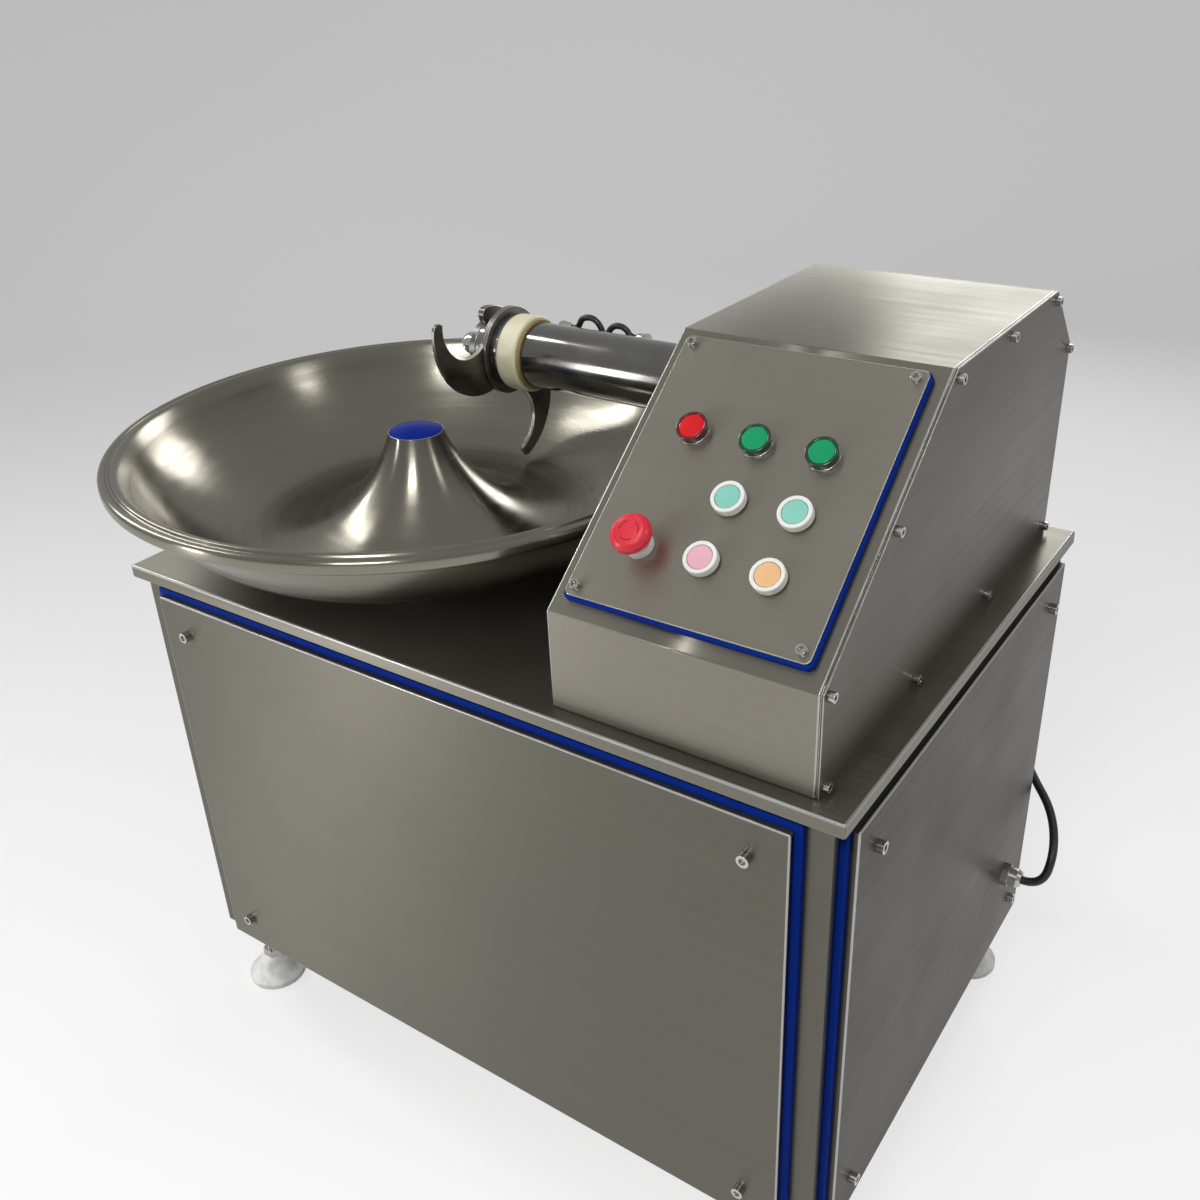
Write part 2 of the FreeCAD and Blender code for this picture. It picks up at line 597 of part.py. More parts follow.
def make_bowl():
    """Spun bowl, its blue cap, the carrier that turns it and the drive under the table."""
    at_bowl = ("bowl_x", "bowl_y", "0")
    dish = bowl_profile().revolve(Vector(0, 0, 0), Vector(0, 0, 1), 360)
    dish.translate(Vector(size("bowl_x"), size("bowl_y"), 0))
    shape_piece("bowl", dish)

    hub_top = "(table_height + rim_rise - hub_drop)"
    cap = turned("cap", [
        ("0", hub_top), ("cap_radius", hub_top), ("cap_radius", hub_top + " + cap_sheet"),
        ("cap_radius * 0.6", hub_top + " + cap_sheet + cap_dome * 0.7"),
        ("0", hub_top + " + cap_sheet + cap_dome")])
    piece("bowl_cap", stand(cap, at_bowl))

    hub_under = "(table_height + rim_rise - hub_drop - hub_plate)"
    bearing_top = "(table_height + bowl_bearing_height)"
    low = bearing_top + " + clear_gap"
    carrier = turned("carrier", [
        ("bowl_shaft_radius", low), ("carrier_radius", low), ("carrier_radius", low + " + carrier_rim"),
        ("carrier_radius * 0.62", low + " + carrier_rim + 12"), ("carrier_radius * 0.4", hub_under + " - 30"),
        ("carrier_radius * 0.33", hub_under), ("bowl_shaft_radius", hub_under)])
    piece("bowl_carrier", stand(carrier, at_bowl))

    shaft_low = TABLE_UNDER + " - gearbox_height - 4"
    shaft = turned("bowl_spindle", [
        ("0", shaft_low), ("bowl_shaft_radius", shaft_low), ("bowl_shaft_radius", hub_under),
        ("cap_bolt_radius", hub_under), ("cap_bolt_radius", hub_top), ("0", hub_top)])
    piece("bowl_shaft", stand(shaft, at_bowl))

    bore = "bowl_shaft_radius + running_gap"
    bearing = turned("bowl_bearing", [
        (bore, "table_height"), ("bowl_flange_radius", "table_height"),
        ("bowl_flange_radius", "table_height + bowl_flange_sheet"),
        ("bowl_bearing_radius + 6", "table_height + bowl_flange_sheet"),
        ("bowl_bearing_radius", "table_height + bowl_flange_sheet + 6"),
        ("bowl_bearing_radius", bearing_top), (bore, bearing_top)])
    piece("bowl_bearing_housing", stand(bearing, at_bowl))

    case = box("gear_case", "gearbox_length", "gearbox_width", "gearbox_height",
               ("bowl_x - gearbox_length / 2", "bowl_y - gearbox_width / 2",
                TABLE_UNDER + " - gearbox_height"))
    rounded = round_edges("gear_case_rounded", case, size("gearbox_corner"), upright)
    shaft_hole = rod("gear_case_bore", "bowl_shaft_radius + clear_gap", "gearbox_height + 2",
                     ("bowl_x", "bowl_y", TABLE_UNDER + " - gearbox_height - 1"))
    piece("bowl_gearbox", cut("gear_case_bored", rounded, [shaft_hole]))

    motor_z = TABLE_UNDER + " - gearbox_height / 2"
    shell = rod("gearmotor_shell", "gearmotor_radius", "gearmotor_length",
                ("bowl_x - gearbox_length / 4", "bowl_y + gearbox_width / 2", motor_z), "y")
    terminal = box("gearmotor_box", "gear_terminal_length", "gear_terminal_width",
                   "gear_terminal_height",
                   ("bowl_x - gearbox_length / 4 - gear_terminal_length / 2",
                    "bowl_y + gearbox_width / 2 + gearmotor_length / 3",
                    motor_z + " - gearmotor_radius - gear_terminal_height * 0.8"))
    piece("bowl_motor", fuse("gearmotor", [shell, terminal]))


def knife_outline():
    """Sickle outline in its own plane: u along the tip, v towards the back edge."""
    reach = size("knife_radius")
    back = size("knife_back_radius")
    back_v = -size("knife_back_offset")
    back_u = math.sqrt((reach - back) ** 2 - back_v ** 2)
    root = size("knife_root_radius")
    edge = Vector(size("knife_edge_u"), -size("knife_edge_v"), 0)
    edge_radius = size("knife_edge_radius")
    tip = size("knife_tip_radius")
    back_centre = Vector(back_u, back_v, 0)

    def on(centre, radius, angle):
        return centre + Vector(math.cos(math.radians(angle)), math.sin(math.radians(angle)), 0) * radius

    def meet(first, first_radius, second, second_radius, side):
        """Point where two circles cross, on the chosen side of the line between their centres."""
        gap = (second - first).Length
        part = (first_radius ** 2 - second_radius ** 2 + gap ** 2) / (2 * gap)
        height = math.sqrt(max(first_radius ** 2 - part ** 2, 0))
        way = (second - first).normalize()
        return first + way * part + Vector(-way.y, way.x, 0) * height * side

    tip_angle = size("knife_tip_angle")
    tip_turn = size("knife_tip_turn")
    tip_centre = on(back_centre, back - tip, tip_angle)
    back_end = on(back_centre, back, tip_angle)
    back_start = meet(Vector(0, 0, 0), root, back_centre, back, 1)
    back_middle = on(back_centre, back, tip_angle + 45)
    tip_middle = on(tip_centre, tip, (tip_angle - tip_turn) / 2)
    tip_low = on(tip_centre, tip, -tip_turn)
    edge_start = on(edge, edge_radius, size("knife_edge_start"))
    edge_end = meet(Vector(0, 0, 0), root, edge, edge_radius, 1)
    edge_middle = on(edge, edge_radius, 90)
    root_middle = on(Vector(0, 0, 0), root, -130)
    return Part.Wire([
        Part.Arc(back_start, back_middle, back_end).toShape(),
        Part.Arc(back_end, tip_middle, tip_low).toShape(),
        Part.LineSegment(tip_low, edge_start).toShape(),
        Part.Arc(edge_start, edge_middle, edge_end).toShape(),
        Part.Arc(edge_end, root_middle, back_start).toShape()])


def make_knife(node, right_face, angle):
    """One sickle knife with a ground bevel along its hollow edge, facing +X."""
    thickness = size("knife_sheet")
    blade = Part.Face(knife_outline()).extrude(Vector(0, 0, thickness))
    bore = Part.makeCylinder(size("shaft_radius"), thickness * 3, Vector(0, 0, -thickness))
    blade = blade.cut(bore)
    bevel = size("knife_bevel")
    hollow = size("knife_edge_radius")
    ground = [e for e in blade.Edges if hasattr(e.Curve, "Radius")
              and abs(e.Curve.Radius - hollow) < 1e-4 and e.CenterOfMass.z > thickness - 0.1]
    blade = blade.makeChamfer(bevel, ground)
    frame = FreeCAD.Matrix(0, 0, 1, 0, 1, 0, 0, 0, 0, 1, 0, 0, 0, 0, 0, 1)
    blade.Placement = Placement(frame)
    turned_blade = Placement(Vector(right_face - thickness, size("knife_y"), number(KNIFE_Z)),
                             Rotation(Vector(1, 0, 0), angle))
    blade.Placement = turned_blade.multiply(blade.Placement)
    shape_piece(node, blade)


def disc_solid(right_face, thickness, radius):
    """A flat disc on the knife shaft with its rims broken."""
    disc = Part.makeCylinder(radius, thickness)
    rims = [e for e in disc.Edges if abs(e.Length - 2 * math.pi * radius) < 1e-3]
    disc = disc.makeChamfer(size("disc_edge"), rims)
    disc = disc.cut(Part.makeCylinder(size("shaft_radius"), thickness))
    disc.Placement = Placement(Vector(right_face - thickness, size("knife_y"), number(KNIFE_Z)), ALONG_X)
    return disc


def make_knife_head():
    """From right to left: clamp flange, two knives, two discs, counterweight and dome nut."""
    face = size("ring_left") - size("stack_gap")
    discs = [disc_solid(face, size("flange_sheet"), size("flange_radius"))]
    face -= size("flange_sheet")
    make_knife("knife_b", face, size("knife_a_angle") + size("knife_step"))
    face -= size("knife_sheet")
    make_knife("knife_a", face, size("knife_a_angle"))
    face -= size("knife_sheet")
    for _ in range(2):
        discs.append(disc_solid(face, size("spacer_sheet"), size("spacer_radius")))
        face -= size("spacer_sheet")
    shape_piece("clamp_discs", Part.makeCompound(discs))

    sheet_width = size("weight_sheet")
    half = math.radians(size("weight_half_angle"))
    reach = size("weight_radius")
    corner = [Vector(math.cos(a), math.sin(a), 0) for a in (-half, 0, half)]
    sector = Part.Wire([
        Part.LineSegment(Vector(0, 0, 0), corner[0] * reach).toShape(),
        Part.Arc(corner[0] * reach, corner[1] * reach, corner[2] * reach).toShape(),
        Part.LineSegment(corner[2] * reach, Vector(0, 0, 0)).toShape()])
    weight = Part.Face(sector).extrude(Vector(0, 0, sheet_width))
    outer_corners = [e for e in weight.Edges if along(Vector(0, 0, 1))(e)
                     and e.CenterOfMass.sub(Vector(0, 0, sheet_width / 2)).Length > reach / 2]
    weight = weight.makeFillet(size("weight_corner"), outer_corners)
    weight = weight.fuse(Part.makeCylinder(size("weight_hub"), sheet_width)).removeSplitter()
    weight = weight.cut(Part.makeCylinder(size("shaft_radius"), sheet_width))
    frame = Placement(FreeCAD.Matrix(0, 0, 1, 0, 1, 0, 0, 0, 0, 1, 0, 0, 0, 0, 0, 1))
    facing = size("knife_a_angle") + size("knife_step") / 2 - 180
    spot = Placement(Vector(face - sheet_width, size("knife_y"), number(KNIFE_Z)),
                     Rotation(Vector(1, 0, 0), facing))
    weight.Placement = spot.multiply(frame)
    shape_piece("knife_counterweight", weight)
    face -= sheet_width

    dome_low = "nut_length - nut_dome"
    nut = turned("dome_nut_form", [
        ("thread_radius", "0"), ("nut_flange_radius", "0"), ("nut_flange_radius", "nut_flange"),
        ("nut_radius", "nut_flange"), ("nut_radius", dome_low),
        ("nut_radius * 0.92", dome_low + " + nut_dome * 0.4"),
        ("nut_radius * 0.71", dome_low + " + nut_dome * 0.71"),
        ("nut_radius * 0.4", dome_low + " + nut_dome * 0.92"),
        ("0", "nut_length"), ("0", "thread_length"), ("thread_radius", "thread_length")])
    nut.Placement.Rotation = Rotation(Vector(0, 1, 0), -90)
    stack = ("ring_left - stack_gap - flange_sheet - 2 * knife_sheet - 2 * spacer_sheet"
             " - weight_sheet")
    place(nut, (stack, "knife_y", KNIFE_Z))
    piece("dome_nut", nut)

    whole = "pulley_x + pulley_length / 2 + 8 - (" + stack + ") + thread_length"
    shaft = turned("shaft_form", [
        ("0", "0"), ("thread_radius", "0"), ("thread_radius", "thread_length"),
        ("shaft_radius", "thread_length"), ("shaft_radius", whole), ("0", whole)])
    piece("knife_shaft", stand(shaft, (stack + " - thread_length", "knife_y", KNIFE_Z), "x"))


def make_shaft_housing():
    """Polished housing tube with its plastic ring, seal, bearings and pedestal."""
    axis = ("knife_y", KNIFE_Z)
    ring = turned("ring_form", [
        ("shaft_radius + 1", "0"), ("ring_radius", "0"), ("ring_radius", "ring_length"),
        ("shaft_radius + 1", "ring_length")])
    soften(ring, "ring_round", ring_edge("ring_radius", "0"))
    piece("nylon_ring", stand(ring, ("ring_left", *axis), "x"))

    seal = turned("seal_form", [
        ("shaft_radius + 1", "0"), ("seal_radius", "0"), ("seal_radius", "seal_sheet"),
        ("shaft_radius + 1", "seal_sheet")])
    piece("shaft_seal", stand(seal, ("ring_left + ring_length", *axis), "x"))

    tube_left = "ring_left + ring_length + seal_sheet"
    tube = turned("tube_form", [
        ("tube_bore", "0"), ("tube_radius", "0"), ("tube_radius", "tube_right - (" + tube_left + ")"),
        ("tube_bore", "tube_right - (" + tube_left + ")")])
    piece("shaft_housing_tube", stand(tube, (tube_left, *axis), "x"))

    bearings = []
    for index, start in enumerate((tube_left + " + 2", "tube_right - bearing_length - 2")):
        race = turned("bearing_%d" % index, [
            ("shaft_radius + running_gap", "0"), ("tube_bore", "0"), ("tube_bore", "bearing_length"),
            ("shaft_radius + running_gap", "bearing_length")])
        bearings.append(stand(race, (start, *axis), "x"))
    piece("shaft_bearings", group("bearing_pair", bearings))

    wall = profiled("pedestal_wall", [
        ("knife_y - pedestal_width / 2", "table_height"), ("knife_y + pedestal_width / 2", "table_height"),
        ("knife_y + tube_radius + 24", KNIFE_Z + " + tube_radius * 0.5"),
        ("knife_y + tube_radius * 0.7", KNIFE_Z + " + tube_radius + 22"),
        ("knife_y - tube_radius * 0.7", KNIFE_Z + " + tube_radius + 22"),
        ("knife_y - tube_radius - 24", KNIFE_Z + " + tube_radius * 0.5")], "pedestal_length")
    place(wall, ("pedestal_left", "0", "0"))
    foot = box("pedestal_base", "pedestal_foot_length", "pedestal_foot_width", "pedestal_foot",
               ("pedestal_left + pedestal_length / 2 - pedestal_foot_length / 2",
                "knife_y - pedestal_foot_width / 2", "table_height"))
    solid = fuse("pedestal_solid", [wall, foot])
    hole = rod("pedestal_bore", "tube_radius", "pedestal_length + 40",
               ("pedestal_left - 20", *axis), "x")
    bolts = []
    for index, (spot, way) in enumerate(pedestal_bolt_spots()):
        drill = doc.addObject("Part::Cylinder", "pedestal_bolt_hole_%d" % index)
        drill.setExpression("Radius", formula("big_screw_radius + screw_gap"))
        drill.setExpression("Height", formula("pedestal_foot + 2"))
        drill.Placement.Base = spot - way * (size("pedestal_foot") + 1)
        bolts.append(drill)
    piece("bearing_pedestal", cut("pedestal", solid, [hole] + bolts))


def grooved_pulley(name, radius, bore):
    """Outline of a pulley with one vee groove for each belt."""
    half_top = size("belt_top") / 2 + size("groove_gap")
    half_low = size("belt_bottom") / 2 + size("groove_gap") / 4
    length = size("pulley_length")
    depth = size("groove_depth")
    corners = [(bore, 0), (radius, 0)]
    count = int(size("belt_count"))
    for i in range(count):
        middle = length / 2 + (i - (count - 1) / 2) * size("belt_pitch")
        corners += [(radius, middle - half_top), (radius - depth, middle - half_low),
                    (radius - depth, middle + half_low), (radius, middle + half_top)]
    corners += [(radius, length), (bore, length)]
    points = [Vector(r, 0, z) for r, z in corners]
    face = Part.Face(Part.makePolygon(points + points[:1]))
    return face.revolve(Vector(0, 0, 0), Vector(0, 0, 1), 360)


def belt_loop(middle_x):
    """One vee belt: a closed path of two arcs and two straight runs round both pulleys."""
    sink = size("belt_sink")
    top_radius = size("knife_pulley_radius") - sink
    low_radius = size("motor_pulley_radius") - sink
    top = Vector(0, size("knife_y"), number(KNIFE_Z))
    low = Vector(0, size("knife_y"), size("motor_z"))
    lean = math.asin((low_radius - top_radius) / (top.z - low.z))

    def loop(inset):
        """Closed outline of the belt path, inset from its outer face."""
        up, down = top_radius - inset, low_radius - inset
        side = Vector(0, math.cos(lean), math.sin(lean))
        other = Vector(0, -math.cos(lean), math.sin(lean))
        return Part.Wire([
            Part.Arc(top + side * up, top + Vector(0, 0, up), top + other * up).toShape(),
            Part.LineSegment(top + other * up, low + other * down).toShape(),
            Part.Arc(low + other * down, low - Vector(0, 0, down), low + side * down).toShape(),
            Part.LineSegment(low + side * down, top + side * up).toShape()])

    depth = size("belt_depth")
    wide, narrow = size("belt_top") / 2, size("belt_bottom") / 2
    faces = []
    wires = {}
    for inset, half in ((0, wide), (depth, narrow)):
        for side in (-1, 1):
            wire = loop(inset)
            wire.translate(Vector(middle_x + side * half, 0, 0))
            wires[(inset, side)] = wire
    ring_order = [(0, -1), (0, 1), (depth, 1), (depth, -1), (0, -1)]
    for first, second in zip(ring_order, ring_order[1:]):
        for a, b in zip(wires[first].Edges, wires[second].Edges):
            faces.append(Part.makeRuledSurface(a, b))
    shell = Part.makeShell([f for face in faces for f in face.Faces])
    solid = Part.makeSolid(shell)
    if solid.Volume < 0:
        solid.reverse()
    return solid


def make_belt_drive():
    """Knife pulley, belts, motor pulley with its shaft, and the motor on the base."""
    left = size("pulley_x") - size("pulley_length") / 2
    pulley = grooved_pulley("knife", size("knife_pulley_radius"), size("shaft_radius"))
    pulley.Placement = Placement(Vector(left, size("knife_y"), number(KNIFE_Z)), ALONG_X)
    shape_piece("knife_pulley", pulley)
    driver = grooved_pulley("motor", size("motor_pulley_radius"), size("motor_shaft_radius"))
    driver.Placement = Placement(Vector(left, size("knife_y"), size("motor_z")), ALONG_X)
    shape_piece("motor_pulley", driver)
    count = int(size("belt_count"))
    belts = [belt_loop(size("pulley_x") + (i - (count - 1) / 2) * size("belt_pitch"))
             for i in range(count)]
    shape_piece("drive_belts", Part.makeCompound(belts))

    shaft_left = "pulley_x - pulley_length / 2 - motor_gap - motor_shaft_inside"
    shaft = rod("motor_shaft_rod", "motor_shaft_radius",
                "pulley_length + motor_gap + motor_shaft_inside + 4",
                (shaft_left, "knife_y", "motor_z"), "x")
    piece("motor_shaft", shaft)

    motor_right = "pulley_x - pulley_length / 2 - motor_gap"
    motor_left = motor_right + " - motor_length"
    base_top = "(cabinet_bottom + rail_height + base_sheet)"
    shell = rod("motor_shell", "motor_radius", "motor_length - fan_length",
                (motor_left + " + fan_length", "knife_y", "motor_z"), "x")
    fan = rod("motor_fan_cover", "motor_radius - 6", "fan_length",
              (motor_left, "knife_y", "motor_z"), "x")
    foot = box("motor_foot", "motor_length - 130", "motor_foot_width", "motor_z - " + base_top + " - 70",
               (motor_left + " + 80", "knife_y - motor_foot_width / 2", base_top))
    terminal = box("motor_terminal_box", "terminal_length", "terminal_width", "terminal_height",
                   (motor_left + " + 90", "knife_y - terminal_width / 2",
                    "motor_z + motor_radius - terminal_height * 0.3"))
    solid = fuse("motor_solid", [shell, fan, foot, terminal])
    hole = rod("motor_bore", "motor_shaft_radius + running_gap", "motor_shaft_inside + 2",
               (motor_right + " - motor_shaft_inside", "knife_y", "motor_z"), "x")
    piece("knife_motor", cut("motor", solid, [hole]))


def hood_outline(inset, floor="0.0"):
    """Side outline of the control housing, moved inwards by inset and up from the table by floor."""
    slope = "slope_angle"
    rear_sum = "(hood_back + hood_height - hood_chamfer)"
    front = "(hood_front + (%s))" % inset
    back = "(hood_back - (%s))" % inset
    top = "(hood_height - (%s))" % inset
    bend = "(hood_front_height + (%s) * (tan(%s) - 1 / cos(%s)))" % (inset, slope, slope)
    slope_top = "(hood_front + (hood_height - hood_front_height - (%s) + (%s) / cos(%s)) / tan(%s))" % (
        inset, inset, slope, slope)
    top_back = "(%s - (%s) * 0.41421 - hood_height)" % (rear_sum, inset)
    back_top = "(%s - (%s) * 0.41421 - hood_back)" % (rear_sum, inset)
    level = "table_height + "
    return [(front, level + floor), (back, level + floor), (back, level + back_top),
            (top_back, level + top), (slope_top, level + top), (front, level + bend)]


def slope_frame():
    """Placement of the sloped panel: x across, y up the slope, z out of it, from the lower bend."""
    turn = Rotation(Vector(1, 0, 0), size("slope_angle"))
    corner = Vector(size("hood_left"), size("hood_front"),
                    size("table_height") + size("hood_front_height"))
    return Placement(corner, turn)


def control_spots():
    """The eight controls, column by row on the slope, from the lower left."""
    left, pitch = size("control_left"), size("control_pitch")
    row, step = size("control_row"), size("control_row_pitch")
    names = {"estop": (0, 0), "pink": (1, 0), "orange": (2, 0), "teal_left": (1, 1),
             "teal_right": (2, 1), "red_lamp": (0, 2), "green_lamp_left": (1, 2),
             "green_lamp_right": (2, 2)}
    return {name: Vector(left + c * pitch, row + r * step, 0) for name, (c, r) in names.items()}


def cover_screw_spots():
    """Ten screws round the housing's side plate."""
    inset = size("cover_screw_inset")
    outline = [(number(u), number(v)) for u, v in hood_outline("cover_screw_inset")]
    low_front, low_back, back_top, top_back, slope_top, bend = outline
    low = size("table_height") + inset
    spots = [(low_front[0], low), (low_back[0], low), back_top, top_back, slope_top, bend]
    run = low_back[0] - low_front[0]
    spots += [(low_front[0] + run / 3, low), (low_front[0] + run * 2 / 3, low)]
    spots.append(((bend[0] + slope_top[0]) / 2, (bend[1] + slope_top[1]) / 2))
    spots.append(((top_back[0] + slope_top[0]) / 2, top_back[1]))
    right = size("hood_left") + size("hood_length")
    return [(Vector(right, y, z), Vector(1, 0, 0)) for y, z in spots]


def plate_screw_spots():
    """Four screws at the corners of the control plate."""
    inset = size("plate_screw_inset")
    top = size("plate_gasket") + size("plate_sheet")
    xs = (size("plate_left") + inset, size("plate_left") + size("plate_width") - inset)
    ys = (size("plate_start") + inset, size("plate_start") + size("plate_length") - inset)
    frame = slope_frame()
    way = frame.Rotation.multVec(Vector(0, 0, 1))
    return [(frame.multVec(Vector(x, y, top)), way) for x in xs for y in ys]


def on_slope(shape):
    """A shape drawn in the slope's own frame, moved to its place."""
    moved = shape.copy()
    moved.Placement = slope_frame().multiply(shape.Placement)
    return moved


def make_control_housing():
    """Folded housing with its screwed side plate, control plate and gasket."""
    wall = size("hood_sheet")
    outer = profiled("hood_outer", hood_outline("0.0"), "hood_length - side_plate")
    place(outer, ("hood_left", "0", "0"))
    lowest = size("table_height") + 1
    soften(outer, "hood_fold", lambda e: along(Vector(1, 0, 0))(e) and e.CenterOfMass.z > lowest)
    inner = profiled("hood_inner", hood_outline("hood_sheet"), "hood_length - side_plate - 2 * hood_sheet")
    place(inner, ("hood_left + hood_sheet", "0", "0"))
    mouth = profiled("hood_mouth", hood_outline("hood_sheet + hood_flange", "hood_flange"),
                     "4 * hood_sheet")
    place(mouth, ("hood_left + hood_length - side_plate - 2 * hood_sheet", "0", "0"))
    tube_hole = rod("hood_tube_hole", "tube_radius + screw_gap", "4 * hood_sheet",
                    ("hood_left - hood_sheet", "knife_y", KNIFE_Z), "x")
    doc.recompute()
    drills = []
    for spot in control_spots().values():
        drills.append(on_slope(Part.makeCylinder(size("collar_neck") + size("screw_gap"), wall * 4,
                                                 spot - Vector(0, 0, wall * 2))))
    small = size("small_screw_radius") + size("screw_gap")
    drills += holes_through(cover_screw_spots() + plate_screw_spots(), small, 24)
    drill_set = doc.addObject("Part::Feature", "hood_drills")
    drill_set.Shape = Part.makeCompound(drills)
    piece("control_housing", cut("hood", outer, [inner, mouth, tube_hole, drill_set]))

    side = profiled("side_plate_form", hood_outline("0.0"), "side_plate")
    place(side, ("hood_left + hood_length - side_plate", "0", "0"))
    side_drills = doc.addObject("Part::Feature", "side_drills")
    side_drills.Shape = Part.makeCompound(holes_through(cover_screw_spots(), small, 10))
    piece("housing_side_plate", cut("side_cover", side, [side_drills]))

    gasket_lip = size("plate_gasket_lip")
    start = Vector(size("plate_left"), size("plate_start"), 0)
    plate = Part.makeBox(size("plate_width"), size("plate_length"), size("plate_sheet"),
                         start + Vector(0, 0, size("plate_gasket")))
    corner = size("plate_corner")
    plate = plate.makeFillet(corner, [e for e in plate.Edges if along(Vector(0, 0, 1))(e)])
    seat = Part.makeBox(size("plate_width") + 2 * gasket_lip, size("plate_length") + 2 * gasket_lip,
                        size("plate_gasket"), start - Vector(gasket_lip, gasket_lip, 0))
    seat = seat.makeFillet(corner + gasket_lip, [e for e in seat.Edges if along(Vector(0, 0, 1))(e)])
    necks = [Part.makeCylinder(size("collar_neck") + size("screw_gap"), 40, spot - Vector(0, 0, 10))
             for spot in control_spots().values()]
    screw_bores = holes_through(plate_screw_spots(), small, 24)
    shape_piece("control_plate", on_slope(plate.cut(necks)).cut(screw_bores))
    shape_piece("control_gasket", on_slope(seat.cut(necks)).cut(screw_bores))

    screw = cap_screw(size("small_screw_radius"), size("small_head_radius"), size("small_screw_length"))
    solids = []
    for where in screw_places(cover_screw_spots() + plate_screw_spots()):
        form = screw.copy()
        form.Placement = where
        solids.append(form)
    shape_piece("cover_screws", Part.makeCompound(solids))


def turned_solid(corners):
    """A solid turned about Z from (radius, height) corners."""
    points = [Vector(r, 0, z) for r, z in corners]
    return Part.Face(Part.makePolygon(points + points[:1])).revolve(Vector(0, 0, 0), Vector(0, 0, 1), 360)


def make_controls():
    """Push-buttons, lamps and the emergency stop on the sloped plate, with their contact blocks."""
    top = size("plate_gasket") + size("plate_sheet")
    neck = size("collar_neck")
    rim = size("collar_radius")
    wall = size("collar_wall")
    high = top + size("collar_height")
    floor_level = high - size("button_travel") - size("button_well")
    neck_low = -size("hood_sheet") - size("collar_thread")
    stem = neck - size("stem_wall")
    gap = size("screw_gap")
    collar = turned_solid([
        (stem + gap, neck_low), (neck, neck_low), (neck, top), (rim, top), (rim, high - 1.5),
        (rim - 1.2, high), (rim - wall, high), (rim - wall, floor_level), (stem + gap, floor_level)])
    head_low = floor_level + size("button_travel") + gap
    head_high = high - size("button_sink")
    head_reach = rim - wall - gap
    stem_low = neck_low - 1
    cap = turned_solid([
        (0, stem_low), (stem, stem_low), (stem, head_low), (head_reach, head_low),
        (head_reach, head_high - 0.8), (head_reach - 1, head_high), (0, head_high)])
    spots = control_spots()
    buttons = ["teal_left", "teal_right", "pink", "orange"]

    def at(shape, name):
        moved = shape.copy()
        moved.translate(spots[name])
        return on_slope(moved)

    shape_piece("button_collars", Part.makeCompound([at(collar, name) for name in buttons]))
    for name in buttons:
        shape_piece("button_" + name, at(cap, name))

    base = top + size("bezel_height")
    bezel = turned_solid([
        (stem, neck_low), (neck, neck_low), (neck, top), (rim, top), (rim, base - 1),
        (rim - 1, base), (stem, base)])
    lens_reach = rim - size("lens_gap")
    lens_top = base + size("lens_height")
    lens = turned_solid([
        (0, base), (lens_reach - 1, base), (lens_reach, base + 1), (lens_reach, lens_top - 1.5),
        (lens_reach - 1.5, lens_top), (0, lens_top)])
    lamps = ["red_lamp", "green_lamp_left", "green_lamp_right"]
    shape_piece("lamp_bezels", Part.makeCompound([at(bezel, name) for name in lamps]))
    shape_piece("lamp_lens_red", at(lens, "red_lamp"))
    shape_piece("lamp_lenses_green", Part.makeCompound([at(lens, name) for name in lamps[1:]]))

    travel = size("estop_travel")
    collar_top = top + size("estop_collar_height")
    collar_reach = size("estop_collar_radius")
    estop_collar = turned_solid([
        (stem + gap, neck_low), (neck, neck_low), (neck, top), (collar_reach, top),
        (collar_reach, collar_top - 1.5), (collar_reach - 1.5, collar_top),
        (stem + gap, collar_top)])
    shape_piece("estop_collar", at(estop_collar, "estop"))
    head_base = collar_top + travel + 0.6
    spigot = size("estop_spigot")
    spigot_top = head_base + size("estop_head_height") / 2
    stem_form = turned_solid([
        (0, stem_low), (stem, stem_low), (stem, head_base - gap), (spigot, head_base - gap),
        (spigot, spigot_top), (0, spigot_top)])
    shape_piece("estop_stem", at(stem_form, "estop"))
    reach = size("estop_radius")
    tall = size("estop_head_height")
    socket = spigot + size("running_gap")
    head = turned_solid([
        (0, spigot_top + gap), (socket, spigot_top + gap), (socket, head_base),
        (stem + 1.5, head_base), (reach - 3, head_base + 3), (reach, head_base + 6),
        (reach, head_base + tall - 6), (reach - 2.5, head_base + tall - 2), (reach - 8, head_base + tall),
        (0, head_base + tall)])
    shape_piece("estop_head", at(head, "estop"))

    side = size("block_side")
    deep = size("block_height")
    block = Part.makeBox(side, side, deep, Vector(-side / 2, -side / 2, neck_low - deep))
    pocket = Part.makeCylinder(stem + gap, travel + 4, Vector(0, 0, neck_low - travel - 4))
    block = block.cut(pocket)
    shape_piece("contact_blocks", Part.makeCompound([at(block, name) for name in spots]))


